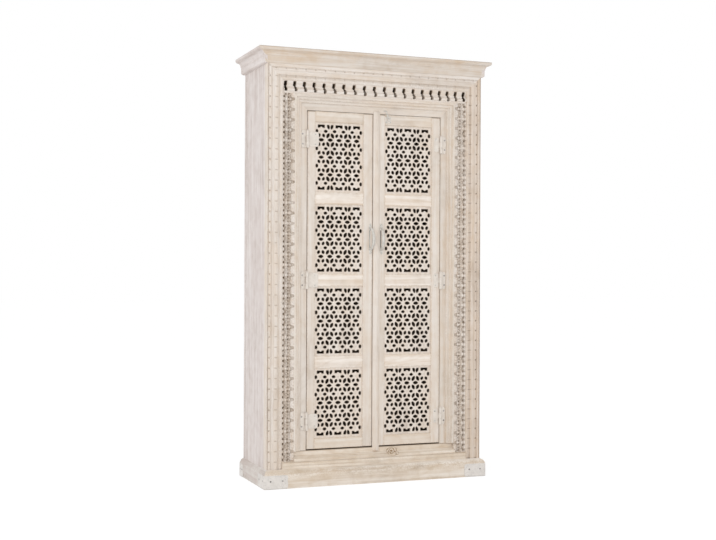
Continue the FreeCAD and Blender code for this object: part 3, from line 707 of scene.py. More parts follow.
def beaten_iron() -> NodeGroup:
    """Build hammered iron under worn white paint: rounded dents, dark chips that gather at the edges, and
    painted shade in the metal's colour where sunk.
    """
    group = NodeGroup("beaten_iron", {
        "Vector": VECTOR, "Rubbed": VALUE, "Sunk": VALUE, "Paint": COLOUR, "Metal": COLOUR, "Wear": VALUE,
    }, {"Colour": COLOUR, "Roughness": VALUE, "Height": VALUE, "Bare": VALUE})
    g = group.graph
    s = group.start
    grid = {"Vector": s["Vector"], "Scale": 150.0}
    dents = g.add("ShaderNodeTexVoronoi", grid, feature="SMOOTH_F1").outputs[0]
    chips = g.ramp(g.noise(s["Vector"], 130, 5, 0.3), 0.5, 0.62)
    cloud = g.ramp(g.noise(s["Vector"], 40, 4, 0.3), 0.36, 0.7)
    edges = g.math("MULTIPLY_ADD", s["Rubbed"], 0.75, 0.25)
    bare = g.product(chips, edges, s["Wear"], clamp=True)
    tone = g.mix(g.product(cloud, 0.3), s["Paint"], s["Metal"])
    colour = g.mix(g.math("MAXIMUM", bare, s["Sunk"]), tone, s["Metal"])
    rough = g.math("MULTIPLY_ADD", cloud, 0.25, 0.42)
    return group.finish(Colour=colour, Roughness=rough, Height=dents, Bare=bare)


@dataclass(frozen=True)
class Finish:
    """What every finish has: a name and the record's slot. Its colours are linear red, green and blue."""

    name: str
    slot: str

    def surface(self, graph: Graph, place: Socket, marks: dict, grain: Axis, seed: int) -> dict:
        """Return what each of the shader's inputs is, and under "bump" the inputs of its bump."""
        raise NotImplementedError

    def material(self, grain: Axis, seed: int) -> bpy.types.Material:
        """Return the finish's material for a grain direction and a board of its own, made once.

        Args:
            grain: The direction of the grain.
            seed: Chooses the board.

        Returns:
            The material, which reads each mesh's own rubbed and sunk values.
        """
        name = f"{self.name}_{grain.name.lower()}_{seed}"
        if name in bpy.data.materials:
            return bpy.data.materials[name]
        material = bpy.data.materials.new(name)
        material.use_nodes = True
        graph = Graph(material.node_tree)
        place = graph.add("ShaderNodeTexCoord").outputs["Object"]
        marks = {}
        for label in RUBBED_AND_SUNK:
            marks[label.capitalize()] = graph.add("ShaderNodeAttribute", attribute_name=label).outputs["Fac"]
        inputs = self.surface(graph, place, marks, grain, seed)
        inputs["Normal"] = graph.add("ShaderNodeBump", inputs.pop("bump")).outputs[0]
        graph.feed(material.node_tree.nodes["Principled BSDF"], inputs)
        return material


@dataclass(frozen=True)
class Timber(Finish):
    """Mango wood under a white wash, with a knot at one place if it has one."""

    slot: str = "whitewashed_mango"
    wash: Triple = (0.775, 0.715, 0.655)
    wood: Triple = (0.60, 0.45, 0.31)
    # glaze is the brown laid where points are sunk: glaze in the carving, and painted shade in hollows and
    # gaps.
    glaze: Triple = (0.27, 0.20, 0.14)
    thinness: float = 0.40
    wear: float = 1.0
    bump: float = 0.00035
    bump_strength: float = 0.7
    gloss: float = 0.25
    knot: Triple | None = None
    knot_colour: Triple = (0.28, 0.17, 0.08)
    knot_flattening: Triple = (0.62, 0.2, 1.0)
    knot_ring_rate: float = 720.0
    knot_wander: float = 0.022
    knot_fade: tuple[float, float] = (0.010, 0.026)

    def surface(self, graph: Graph, place: Socket, marks: dict, grain: Axis, seed: int) -> dict:
        """Return the wood's inputs, with the grain turned along the board and moved to a place of its own."""
        turn = {Axis.X: (0, math.pi / 2, 0), Axis.Y: (math.pi / 2, 0, 0), Axis.Z: (0, 0, 0)}[grain]
        offset = (seed * 1.37, seed * 0.71, seed * 2.13)
        mapping = {"Vector": place, "Rotation": turn, "Location": offset}
        vector = graph.add("ShaderNodeMapping", mapping).outputs[0]
        grained = GROUPS["grain"].place(graph, {"Vector": vector}).outputs
        washed = GROUPS["wash"].place(graph, marks | {socket.name: socket for socket in grained} | {
            "Vector": vector, "Wash": (*self.wash, 1), "Wood": (*self.wood, 1), "Glaze": (*self.glaze, 1),
            "Thinness": self.thinness, "Wear": self.wear,
        }).outputs
        return {
            "Base Color": self.knotted(graph, place, washed["Colour"]) if self.knot else washed["Colour"],
            "Roughness": washed["Roughness"], "Specular IOR Level": self.gloss,
            "bump": {"Height": washed["Height"], "Distance": self.bump, "Strength": self.bump_strength},
        }

    def knotted(self, graph: Graph, place: Socket, colour: Socket) -> Socket:
        """Return the colour with a knot: uneven brown rings round one place, fading outwards."""
        away = graph.add("ShaderNodeVectorMath", {0: place, 1: self.knot}, operation="SUBTRACT").outputs[0]
        flat = graph.stretch(away, *self.knot_flattening)
        distance = graph.add("ShaderNodeVectorMath", {0: flat}, operation="LENGTH").outputs["Value"]
        wandered = graph.math("MULTIPLY_ADD", graph.noise(place, 46, 2), self.knot_wander, distance)
        line = graph.ramp(graph.math("SINE", graph.product(wandered, self.knot_ring_rate)), -0.2, 0.9)
        fade = graph.ramp(distance, *self.knot_fade, 1.0, 0.0)
        return graph.mix(graph.product(line, fade, 0.95), colour, (*self.knot_colour, 1))


@dataclass(frozen=True)
class Iron(Finish):
    """Forged iron under worn white paint."""

    slot: str = "whitewashed_iron"
    paint: Triple = (0.74, 0.70, 0.66)
    metal: Triple = (0.38, 0.34, 0.31)
    wear: float = 0.55
    dent: float = 0.0006
    dent_strength: float = 0.6
    bare_metal: float = 0.8

    def surface(self, graph: Graph, place: Socket, marks: dict, grain: Axis, seed: int) -> dict:
        """Return the iron's inputs, with its dents moved to a place of their own. Iron has no grain."""
        mapping = {"Vector": place, "Location": (seed, seed * 0.5, 0)}
        vector = graph.add("ShaderNodeMapping", mapping).outputs[0]
        beaten = GROUPS["iron"].place(graph, marks | {
            "Vector": vector, "Paint": (*self.paint, 1), "Metal": (*self.metal, 1), "Wear": self.wear,
        }).outputs
        return {
            "Base Color": beaten["Colour"], "Roughness": beaten["Roughness"],
            "Metallic": graph.product(beaten["Bare"], self.bare_metal),
            "bump": {"Height": beaten["Height"], "Distance": self.dent, "Strength": self.dent_strength},
        }


GROUPS = {"grain": mango_grain(), "wash": whitewash(), "iron": beaten_iron()}
WASHED = Timber("washed_mango")
RAIL_WASH = Timber("rail_mango", wash=(0.785, 0.715, 0.64), thinness=0.50)
MID_RAIL_WASH = Timber("mid_rail_mango", wash=(0.89, 0.823, 0.757), thinness=0.52)
# A darker, streakier copy of the wash for the right jamb: the darkness is painted shade.
SHADED_STRIP_WASH = Timber("strip_mango", wash=(0.75, 0.69, 0.625), thinness=0.52)
CROWN_WASH = Timber("crown_mango", wash=(0.715, 0.66, 0.605), thinness=0.66)
# The jali's glaze is very dark, for the painted shade on its holes' walls and rims.
JALI_WASH = Timber("jali_mango", wash=(0.81, 0.745, 0.68), glaze=(0.15, 0.105, 0.075), thinness=0.36)
SIDE_WASH = Timber(
    "side_mango", wash=(0.79, 0.735, 0.71), wood=(0.56, 0.47, 0.43), glaze=(0.36, 0.27, 0.21), thinness=0.62)
SHADED_WASH = replace(SIDE_WASH, name="shaded_mango", wash=(0.727, 0.688, 0.645))
CARVED = Timber("carved_mango", wash=(0.785, 0.73, 0.68), glaze=(0.25, 0.175, 0.11), thinness=0.42)
# A darker copy of the wash for the right stile: painted shade, as the light falls off to the right.
SHADED_RIGHT_WASH = Timber("aged_mango", wash=(0.73, 0.645, 0.57), glaze=(0.20, 0.145, 0.10), thinness=0.6)
# Bare wood painted very dark: painted shade of the cabinet's inside.
SHADED_LINING = Timber(
    "bare_mango", wash=(0.20, 0.145, 0.10), wood=(0.14, 0.095, 0.06), glaze=(0.08, 0.05, 0.03), thinness=0.6)
# The inside boards, painted very dark: painted shade of the cabinet's inside.
SHADED_INNER = Timber("inner_mango", "plain_mango", wash=(0.22, 0.16, 0.11), wood=(0.15, 0.10, 0.065),
               glaze=(0.08, 0.05, 0.03), thinness=0.6)
FOOT_WASH = Timber(
    "foot_mango", wash=(0.84, 0.775, 0.70), wood=(0.57, 0.44, 0.31), glaze=(0.24, 0.17, 0.11), thinness=0.68)
KNOTTED = replace(FOOT_WASH, name="knotted_mango", wash=(0.84, 0.765, 0.675), knot=(0.084, -0.140, 0.129))
IRON = Iron("white_iron", metal=(0.50, 0.47, 0.44))
WASHED_IRON = Iron("washed_iron", paint=(0.75, 0.69, 0.625), metal=(0.52, 0.46, 0.40), wear=0.45)
WORN_IRON = Iron("worn_iron", paint=(0.70, 0.67, 0.62), metal=(0.19, 0.18, 0.16), wear=0.8)
NAIL_IRON = Iron("dark_iron", paint=(0.42, 0.39, 0.37), metal=(0.16, 0.14, 0.13), wear=1.0)


def dress(node: str, skin: Skin, finish: Finish, grain: Axis, seed: int = 0,
          inside: Triple | None = None, limit: float = LOOKS_INSIDE,
          rails_from: int | None = None) -> None:
    """Put a skin into the scene as the piece that stands for a node.

    Args:
        node: The CAD node that the piece replaces.
        skin: The piece's surface.
        finish: Its finish.
        grain: The direction of its grain.
        seed: Chooses the board that the grain is cut from.
        inside: The direction of the cabinet's inside: faces that look that way get the lining, bare wood
            painted dark as the shade inside the cabinet.
        limit: The least share of a face's normal along inside that counts as looking that way.
        rails_from: The first face of the rails, whose grain runs along X.
    """
    mesh = bpy.data.meshes.new(node + "_finished")
    loops = np.concatenate([part.ravel() for part in skin.faces])
    sizes = np.concatenate([np.full(len(part), part.shape[1]) for part in skin.faces])
    starts = np.concatenate([[0], np.cumsum(sizes)[:-1]])
    mesh.vertices.add(len(skin.points))
    mesh.vertices.foreach_set("co", skin.points.ravel())
    mesh.loops.add(len(loops))
    mesh.loops.foreach_set("vertex_index", loops)
    mesh.polygons.add(len(sizes))
    mesh.polygons.foreach_set("loop_start", starts)
    mesh.update(calc_edges=True)
    if mesh.validate():
        log.warning("%s had faces that needed mending", node)
    mesh.shade_smooth()
    mesh.set_sharp_from_angle(angle=CREASE)
    for label, values in zip(RUBBED_AND_SUNK, (skin.rubbed, skin.sunk)):
        mesh.attributes.new(label, "FLOAT", "POINT").data.foreach_set("value", values)
    piece = bpy.data.objects.new(mesh.name, mesh)
    bpy.context.scene.collection.objects.link(piece)
    mesh.materials.append(finish.material(grain, seed))
    chosen = np.zeros(len(sizes), np.int32)
    if rails_from is not None:
        mesh.materials.append(finish.material(Axis.X, seed))
        chosen[rails_from:] = 1
    if inside is not None:
        # The lining is painted dark: painted shade inside the cabinet.
        mesh.materials.append(SHADED_LINING.material(grain, seed))
        normals = np.empty(len(sizes) * 3, np.float32)
        mesh.polygons.foreach_get("normal", normals)
        bare = normals.reshape(-1, 3) @ np.array(inside) > limit
        chosen[bare] = len(mesh.materials) - 1
    mesh.polygons.foreach_set("material_index", chosen)
    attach(piece, BODY_OF[node])
    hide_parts(node)
    log.info("%s: %d triangles, riding on %s", piece.name, (sizes - 2).sum(), BODY_OF[node])


def stations(length: float, step: float) -> Array:
    """Return even distances from 0 to a length, no further apart than a step."""
    return np.linspace(0, length, int(math.ceil(length / step)) + 1)


def profile_stations(breaks: list[float], step: float, soft: float) -> Array:
    """Return distances across a moulding: a pair close to each break, and even ones between them."""
    edges = np.asarray(breaks, float)
    pairs = np.concatenate([edges[1:-1] - soft, edges[1:-1] + soft])
    even = np.arange(edges[0], edges[-1] + step / 2, step)
    gap = np.abs(even[:, None] - edges[None, :]).min(axis=1)
    even = even[gap > 2 * soft]
    return np.unique(np.round(np.concatenate([edges[[0, -1]], pairs, even]), 6))


@dataclass
class Carcass:
    """The boards that make the cabinet's box, seen at its sides, back and top and through the doors."""

    rear_post_width: float = 0.045
    back_rail_height: float = 0.080
    plank_pitch: float = 0.062
    plank_growth: float = 0.00045
    plank_joint_depth: float = 0.0006
    plank_joint_width: float = 0.0012
    side_step: float = 0.0052
    side_length_step: float = 0.045
    face_wave: float = 0.0004
    arris: float = 0.0012
    stop_gap: float = 0.0005
    plank_looks_inside: float = -0.2
    edging: Edging = Edging()
    plank_edging: Edging = Edging(radius=0.0005, wave=0.0)

    def side_panel(self, side: Side) -> None:
        """Dress one side: a broad board glued up from planks, with faint joints between them."""
        node = "side_panel_" + side.word
        block = Block.of(node)
        depth_y = block.size[1]
        sign = side.value
        outer = block.high[0] if sign > 0 else block.low[0]

        def depth(w: Array, v: Array) -> Array:
            """Shallow joints at each plank's edge, and a slow unevenness below the face."""
            off = np.abs((w + self.plank_pitch / 2) % self.plank_pitch - self.plank_pitch / 2)
            joint = self.plank_joint_depth * near(off, self.plank_joint_width)
            waves = uneven(self.face_wave, w, v * 0.2, seed=11 + sign, length=0.12)
            return joint + waves + self.arris * (near(w, self.arris) + near(w - depth_y, self.arris))

        def place(w: Array, v: Array, d: Array) -> Points:
            """Lay distances across along Y, distances along on Z, and depths in from the outer face."""
            return outer - sign * d, block.low[1] + w, block.low[2] + v

        joints = np.arange(self.plank_pitch, depth_y, self.plank_pitch)
        across = profile_stations([0, *joints, depth_y], self.side_step, self.plank_joint_width)
        along = stations(block.size[2], self.side_length_step)
        skin = relief(across, along, depth, place, block.size[0], wear=0.0, sink=1.0)
        dress(node, skin, SIDE_WASH, Axis.Z, seed=3 + sign, inside=(-sign, 0, 0))

    def back_frame(self) -> None:
        """Dress the two rear posts and the three rails between them."""
        block = Block.of("back_frame")
        left, right = block.low[0], block.high[0]
        inner = (left + self.rear_post_width, right - self.rear_post_width)
        posts = [block.limited(x=(left, inner[0])), block.limited(x=(inner[1], right))]
        skins = [board(post, Axis.Z, 21 + i, self.edging) for i, post in enumerate(posts)]
        post_faces = sum(len(part) for skin in skins for part in skin.faces)
        middle = (block.low[2] + block.high[2]) / 2
        feet = (Block.of("plinth_left").high[2], middle, block.high[2] - self.back_rail_height)
        for i, foot in enumerate(feet):
            rail = block.limited(x=inner, z=(foot, foot + self.back_rail_height))
            skins.append(board(rail, Axis.X, 23 + i, self.edging))
        dress("back_frame", Skin.joined(skins), SIDE_WASH, Axis.Z, seed=6, inside=(0, -1, 0),
              rails_from=post_faces)

    def plain_boards(self) -> None:
        """Dress every node whose solids are plain boards."""
        inside = dict.fromkeys(("shelf_lower", "shelf_middle", "shelf_upper", "bottom_board"), Axis.X)
        inside |= {"shelf_cleats": Axis.Y, "door_stop": Axis.X}
        outside = {"top_board": Axis.X, "plinth_back": Axis.X, "back_boards": Axis.Z}
        looks = {"top_board": (0, 0, -1), "plinth_back": (0, -1, 0), "back_boards": (0, -1, 0)}
        grown = np.array([self.plank_growth, 0, 0])
        # Boards inside the cabinet take the dark finish: painted shade of the inside.
        for finish, group in ((SHADED_INNER, inside), (SIDE_WASH, outside)):
            for i, (node, grain) in enumerate(group.items()):
                planks = node == "back_boards"
                blocks = self.stop_blocks() if node == "door_stop" else solid_blocks(node)
                if planks:
                    blocks = [Block(block.low - grown, block.high + grown) for block in blocks]
                edging = self.plank_edging if planks else self.edging
                skins = [board(block, grain, 30 + 7 * i + j, edging) for j, block in enumerate(blocks)]
                limit = self.plank_looks_inside if planks else LOOKS_INSIDE
                dress(node, Skin.joined(skins), finish, grain, seed=i, inside=looks.get(node), limit=limit)

    def stop_blocks(self) -> list[Block]:
        """Return the door stop's batten and its lip, which hangs below the doors' opening."""
        whole = Block.of("door_stop")
        opening_top = Block.of("head_courses").low[2]
        lip_front = Block.of("left_top_rail").high[1] + self.stop_gap
        return [
            whole.limited(z=(opening_top, whole.high[2])),
            whole.limited(y=(lip_front, whole.high[1]), z=(whole.low[2], opening_top)),
        ]

    def build(self) -> None:
        """Dress every board of the box."""
        for side in Side:
            self.side_panel(side)
        self.back_frame()
        self.plain_boards()


@dataclass
class Moulding:
    """One section carried along the cabinet's front and, from the mitre, back along a side.

    x, y and z are the section's points: the side run has x and z everywhere, the front run y and z. The first
    points, outer in number, are seen and wander a little. The others lie against the cabinet.
    """

    x: Array
    y: Array
    z: Array
    rubbed: Array
    outer: int
    step: float
    wander: float
    wave_length: float

    def dip(self, along: Array, seed: int) -> Array:
        """Return how far each point falls back at its place along a run."""
        seen = np.arange(len(self.x)) < self.outer
        return uneven(self.wander, along, seed=seed, length=self.wave_length) * seen

    def front(self, half: float, seed: int, sunk: Array | float = 0.0) -> Skin:
        """Return the front run over a half width on both sides, with a mitre at each end."""
        along = np.linspace(-1, 1, int(2 * half / self.step))[:, None] * self.x
        return loft(rings_of(along, self.y + self.dip(along, seed), self.z), self.rubbed, sunk)

    def side(self, back: float, length: float, seed: int) -> Skin:
        """Return the right side's run, from its square back end to the mitre."""
        along = back + np.linspace(0, 1, int(length / self.step))[:, None] * (self.y - back)
        return loft(rings_of(self.x - self.dip(along, seed), along, self.z), self.rubbed)


@dataclass
class Crown:
    """The cornice: one section on three sides, mitred at the front corners."""

    side_base: float = 0.019
    side_reach: float = 0.0455
    front_base: float = 0.001
    front_reach: float = 0.022
    flat_share: float = 0.40
    foot_share: float = 0.14
    hollow_foot: tuple[float, float] = (0.09, 0.50)
    hollow_size: tuple[float, float] = (0.45, 0.24)
    round_foot: tuple[float, float] = (0.58, 0.76)
    round_size: tuple[float, float] = (0.36, 0.075)
    top_line_share: float = 0.965
    top_line_shade: float = 0.42
    edge_wear: float = 8.0
    step: float = 0.03
    wander: float = 0.0005
    wave_length: float = 0.4
    curve_steps: int = 5

    def section(self) -> Points:
        """Return the section from its foot to its top.

        A quarter turn under the foot, an upright, a hollow, a small step, a round and the top fillet follow
        one another. Each point has a share of the foot's reach, a share of the growing part and a share of
        the height.

        Returns:
            The shares of the base, of the growth and of the height.
        """
        turn = np.linspace(0, math.pi / 2, self.curve_steps)
        hollow = np.linspace(0, math.pi / 2, self.curve_steps + 2)
        foot_base = np.concatenate([[0.0], self.flat_share + (1 - self.flat_share) * np.sin(turn)])
        foot_height = np.concatenate([[0.0], self.foot_share * (1 - np.cos(turn))])
        growth = np.concatenate([
            [0.0, 0.0, 0.07, 0.09], self.hollow_foot[0] + self.hollow_size[0] * (1 - np.cos(hollow)),
            [0.56, 0.58], self.round_foot[0] + self.round_size[0] * np.sin(turn),
            [0.95, 0.99, 1.0, 1.0, 1.0, 0.99, 0.97],
        ])
        height = np.concatenate([
            [0.44, 0.478, 0.482, 0.50], self.hollow_foot[1] + self.hollow_size[1] * np.sin(hollow),
            [0.745, 0.755], self.round_foot[1] + self.round_size[1] * (1 - np.cos(turn)),
            [0.84, 0.842, 0.86, 0.96, 0.97, 0.995, 1.0],
        ])
        return (
            np.concatenate([foot_base, np.ones(len(growth))]),
            np.concatenate([np.zeros(len(foot_base)), growth]),
            np.concatenate([foot_height, height]),
        )

    def build(self) -> None:
        """Dress the front run, with the board behind it, and the two side runs."""
        front = Block.of("cornice_front")
        right = Block.of("cornice_right")
        head = Block.of("frame_head")
        half, face_y = head.high[0], head.low[1]
        base, growth, height = self.section()
        z = front.low[2] + height * front.size[2]
        rub = np.clip(np.abs(np.gradient(np.gradient(growth))) * self.edge_wear, 0, 1)
        flat = np.zeros(2)
        x = half + self.side_base * base + (self.side_reach - self.side_base) * growth
        y = face_y - self.front_base * base - (self.front_reach - self.front_base) * growth
        section = Moulding(
            x=np.append(x, flat + half), y=np.append(y, flat + face_y), z=np.append(z, z[[-1, 0]]),
            rubbed=np.append(rub, flat), outer=len(z), step=self.step, wander=self.wander,
            wave_length=self.wave_length,
        )
        # The top fillet's edge is painted dark: a painted shade line along the cornice top.
        glaze = np.append(np.where(height > self.top_line_share, self.top_line_shade, 0), flat)
        behind = front.limited(x=(-half, half), y=(face_y, front.high[1]))
        plain = board(behind, Axis.X, 43, Edging(radius=0.0003, wave=0.0))
        moulded = section.front(half, 41, glaze)
        dress("cornice_front", Skin.joined([moulded, plain]), CROWN_WASH, Axis.X, seed=5)
        skin = section.side(right.high[1], right.size[1], 42)
        dress("cornice_right", skin, SIDE_WASH, Axis.Y, seed=7)
        dress("cornice_left", skin.mirrored(), SIDE_WASH, Axis.Y, seed=8)


@dataclass
class FrontMouldings:
    """The outer mouldings of the front: two stiles and a mitred head with one carved section."""

    width: float = 0.070
    cheek_lip: float = 0.0012
    cheek_lip_depth: float = 0.0003
    cheek_gap_end: float = 0.0038
    cheek_gap_depth: float = 0.005
    cheek_gap_end_depth: float = 0.0008
    fillet_end: float = 0.015
    fillet_end_depth: float = 0.0002
    groove_end: float = 0.020
    groove_depth: float = 0.0038
    step_end: float = 0.028
    step_depth: float = 0.002
    band_end: float = 0.048
    band_edge_depth: float = 0.0032
    band_crown_depth: float = 0.001
    valley_end: float = 0.055
    valley_depth: float = 0.0072
    rope_end: float = 0.069
    rope_crown_depth: float = 0.004
    back_depth: float = 0.048
    pitch: float = 0.045
    cut_start: float = 0.044
    cut_end: float = 0.060
    cut_width: float = 0.0016
    cut_depth: float = 0.0021
    cut_shade: float = 0.42
    dot_across: float = 0.0195
    dot_radius: float = 0.0028
    dot_depth: float = 0.0045
    dot_shade: float = 0.50
    mark_rise: float = 0.0
    bead_pitch: float = 0.01125
    bead_share: float = 0.65
    round: float = 0.001
    wave: float = 0.0003
    soft: float = 0.0004
    across_step: float = 0.0016
    along_step: float = 0.0015

    def depth(self, w: Array, v: Array, cheek: float) -> Array:
        """Return the carved section's depth, with the joint beside the outer lip as deep as cheek's share.

        Straight steps come from a table of breaks. The band is a parabola and the rope half an ellipse. On
        the rope a chain of beads is cut by a rectified sine, and every pitch has a cut across and a dot.
        """
        s = self.soft
        gap = self.cheek_gap_depth * cheek
        base = np.interp(w, *zip(
            (0, self.round), (self.round, 0), (self.cheek_lip, self.cheek_lip_depth),
            (self.cheek_lip + s, gap), (self.cheek_gap_end - s, gap),
            (self.cheek_gap_end, self.cheek_gap_end_depth * cheek),
            (self.cheek_gap_end + self.round, 0), (self.fillet_end - s, self.fillet_end_depth),
            (self.fillet_end + s, self.groove_depth), (self.groove_end - s, self.groove_depth),
            (self.groove_end + s, self.step_depth), (self.step_end - s, self.step_depth),
            (self.step_end + s, self.band_edge_depth), (self.band_end - s, self.band_edge_depth),
            (self.band_end + s, self.valley_depth), (self.width, self.valley_depth),
        ))
        cut, dot = self.marks(w, v)
        base -= (self.band_edge_depth - self.band_crown_depth) * arc(w, self.step_end, self.band_end)
        base += self.cut_depth * cut + self.dot_depth * dot
        bead = np.sqrt(np.abs(np.sin(math.pi * v / self.bead_pitch)))
        rope = np.sqrt(arc(w, self.valley_end, self.rope_end))
        rope = rope * (1 - self.bead_share + self.bead_share * bead)
        waves = uneven(self.wave, w, v, seed=51, length=0.09)
        return base - (self.valley_depth - self.rope_crown_depth) * rope + waves

    def marks(self, w: Array, v: Array) -> tuple[Array, Array]:
        """Return how much of a cut and of a drilled dot there is: bells round the middle of every pitch."""
        phase = (v - self.mark_rise) % self.pitch - self.pitch / 2
        reach = (self.cut_end - self.cut_start) / 2
        on_cut = np.clip((reach - np.abs(w - self.cut_start - reach)) / self.dot_radius, 0, 1)
        away = np.hypot(w - self.dot_across, phase)
        return near(phase, self.cut_width) * on_cut, near(away, self.dot_radius)

    def across(self) -> Array:
        """Return the section's stations."""
        breaks = [
            0, self.cheek_lip, self.cheek_gap_end, self.fillet_end, self.groove_end, self.step_end,
            self.band_end, self.valley_end, self.rope_end, self.width,
        ]
        return profile_stations(breaks, self.across_step, self.soft)

    def run(self, along: Array, reach: float, place: Callable, cheek: float, sink: float,
            fall: float) -> Skin:
        """Return a run of the section whose length shrinks across it, so that a mitre cuts its end.

        Args:
            along: Distances along the run's outer edge.
            reach: The distance at which the mitre meets the outer edge.
            place: Turns a pair of distances and a depth into X, Y and Z.
            cheek: The depth of the joint beside the outer lip, as a share.
            sink: As relief takes it.
            fall: Likewise.

        Returns:
            The closed skin.
        """
        return relief(
            self.across(), along, lambda w, v: self.depth(w, v * (reach - w) / reach, cheek),
            lambda w, v, d: place(w, v * (reach - w) / reach, d), self.back_depth, sink=sink, fall=fall,
        )

    def stile(self) -> Skin:
        """Return the right stile, with its cuts and dots painted dark as painted shade."""
        right = Block.of("frame_stile_right")
        reach = right.high[2]

        def place(w: Array, v: Array, d: Array) -> Points:
            """Run up from the foot, with distances across inwards."""
            return right.high[0] - w, right.low[1] + d, right.low[2] + v

        along = stations(right.size[2], self.along_step)
        skin = self.run(along, reach, place, cheek=1.0, sink=0.035, fall=0.16)
        w, v = np.meshgrid(self.across(), along)
        cut, dot = self.marks(w, v * (reach - w) / reach)
        # Cuts and dots are painted dark: painted shade in them.
        marked = np.maximum(cut * self.cut_shade, dot * self.dot_shade)
        skin.sunk = np.maximum(skin.sunk, np.pad(marked, ((0, 0), (0, 2))).ravel())
        return skin

    def head(self) -> None:
        """Dress the head."""
        head = Block.of("frame_head")
        half = head.high[0]

        def place(w: Array, v: Array, d: Array) -> Points:
            """Run from side to side, with distances across downwards."""
            return v, head.low[1] + d, head.high[2] - w

        along = stations(2 * half, self.along_step) - half
        skin = self.run(along, half, place, cheek=0.0, sink=0.02, fall=0.09)
        dress("frame_head", skin, CARVED, Axis.X, seed=3)

    def build(self) -> None:
        """Dress the two stiles and the head. Each stile's cuts and dots have their own places."""
        right = replace(self, mark_rise=0.0134, dot_shade=0.95, cut_shade=0.5)
        dress("frame_stile_right", right.stile(), SHADED_RIGHT_WASH, Axis.Z, seed=1)
        left = replace(self, cut_start=0.032, cut_end=0.047, dot_across=0.0095)
        dress("frame_stile_left", left.stile().mirrored(), CARVED, Axis.Z, seed=2)
        self.head()


@dataclass
class BracketRow:
    """The row of small carved brackets under the head, with a dark gap between each pair."""

    pitch: float = 0.045
    drift: float = 0.014
    spread: float = 0.010
    gap: float = 0.012
    gap_half_width: float = 0.0066
    gap_foot: float = 0.0075
    gap_head: float = 0.0028
    gap_shift: float = 0.0040
    gap_shift_shares: tuple[float, float] = (0.35, 1.3)
    rim: float = 0.001
    waist: float = 0.0036
    foot_narrowing: float = 0.0006
    foot_shade: float = 0.34
    head_shade: float = 0.70
    head_depth: float = 0.010
    neck_depth: float = 0.017
    belly_depth: float = 0.003
    back_depth: float = 0.040
    front_top: float = 0.009
    cell: float = 0.0016
    round_width: float = 0.005
    round_depth: float = 0.005
    round_heights: tuple[float, float] = (0.12, 0.96)
    rise_reach: float = 0.0012
    waist_height: float = 0.52
    waist_width: float = 0.07
    line_heights: tuple[float, ...] = (0.40, 0.54, 0.13)
    line_width: float = 0.012
    line_depth: float = 0.0012
    end_share: float = 0.93
    shade_fall: float = 0.020

    def gaps(self, edge: float) -> Array:
        """Return the gaps' middles, drifting right half way along and closer together at both ends."""
        count = int(2 * (edge - self.gap) / self.pitch) + 1
        i = np.arange(count)
        turn = math.pi * i / (count - 1)
        even = (i - (count - 1) / 2) * self.pitch
        return even + self.drift * np.sin(turn) - self.spread * np.sin(2 * turn)

    def build(self) -> None:
        """Dress the row."""
        block = Block.of("bracket_row")
        front_y = Block.of("frame_head").low[1]
        z0 = block.low[2] + self.gap_foot
        z1 = block.high[2] - self.gap_head
        centres = self.gaps(block.high[0])
        random = np.random.default_rng(61)
        shifts = self.gap_shift * random.uniform(*self.gap_shift_shares, len(centres))
        shifts[[0, -1]] = 0
        rises = random.uniform(-self.rise_reach, self.rise_reach, len(centres))
        corner = self.gap_half_width / 2

        def clear(x: Array, z: Array) -> Array:
            """The distance from an upright S with two lobes and a waist, rounded at both ends."""
            best = np.full(x.shape, 1.0)
            share = np.clip((z - z0) / (z1 - z0), 0, 1)
            waist = self.waist * near(share - self.waist_height, self.waist_width)
            half = self.gap_half_width - (waist + self.foot_narrowing * (1 - share))
            lobe = 0.5 - eased(share, [0, 0.42, 0.62, 1], [0, 0, 1, 1])
            for centre, shift, rise in zip(centres, shifts, rises):
                side = np.abs(x - (centre + shift * lobe)) - half + corner
                end = np.abs(z - rise - (z0 + z1) / 2) - (z1 - z0) / 2 + corner
                outside = np.hypot(np.maximum(side, 0), np.maximum(end, 0))
                best = np.minimum(best, outside + np.minimum(np.maximum(side, end), 0) - corner)
            return best

        def front(x: Array, z: Array, space: Array) -> Array:
            """A double curve up the bracket that turns in beside each gap, with three cut lines."""
            share = (z - block.low[2]) / block.size[2]
            body = eased(share, *zip(
                (0, self.head_depth + 0.004), (0.10, self.head_depth + 0.003), (0.16, 0.006),
                (0.32, self.belly_depth), (0.46, self.neck_depth - 0.004), (0.62, self.neck_depth),
                (0.86, self.head_depth), (1, self.front_top),
            ))
            turn = np.clip(1 - np.maximum(space, 0) / self.round_width, 0, 1)
            inside = (share > self.round_heights[0]) & (share < self.round_heights[1])
            lines = self.line_depth * sum(near(share - line, self.line_width) for line in self.line_heights)
            return front_y + body + inside * self.round_depth * (1 - np.sqrt(1 - np.square(turn))) + lines

        xs = block.places(Axis.X, self.cell)
        zs = block.places(Axis.Z, self.cell)
        skin = pierced(xs, zs, clear, front, front_y + self.back_depth, self.rim)
        # The gaps are painted darker with depth, as painted shade: darker in the upper half, fully dark at
        # the row's ends.
        depth = skin.points[:, 1] - front_y
        height = (skin.points[:, 2] - z0) / (z1 - z0)
        at_end = np.abs(skin.points[:, 0]) / block.high[0] > self.end_share
        limit = np.where(at_end, 1.0, np.where(height < 0.5, self.foot_shade, self.head_shade))
        dark = np.clip((depth - self.neck_depth) / self.shade_fall, 0, 1)
        skin.sunk = np.minimum(np.maximum(skin.sunk, dark), limit)
        dress("bracket_row", skin, CARVED, Axis.X, seed=4)


@dataclass(frozen=True)
class Mark:
    """One carved oval of a repeat: its middle, half sizes and how far it rises, or how dark it is."""

    across: float
    phase: float
    half_across: float
    half_along: float
    level: float


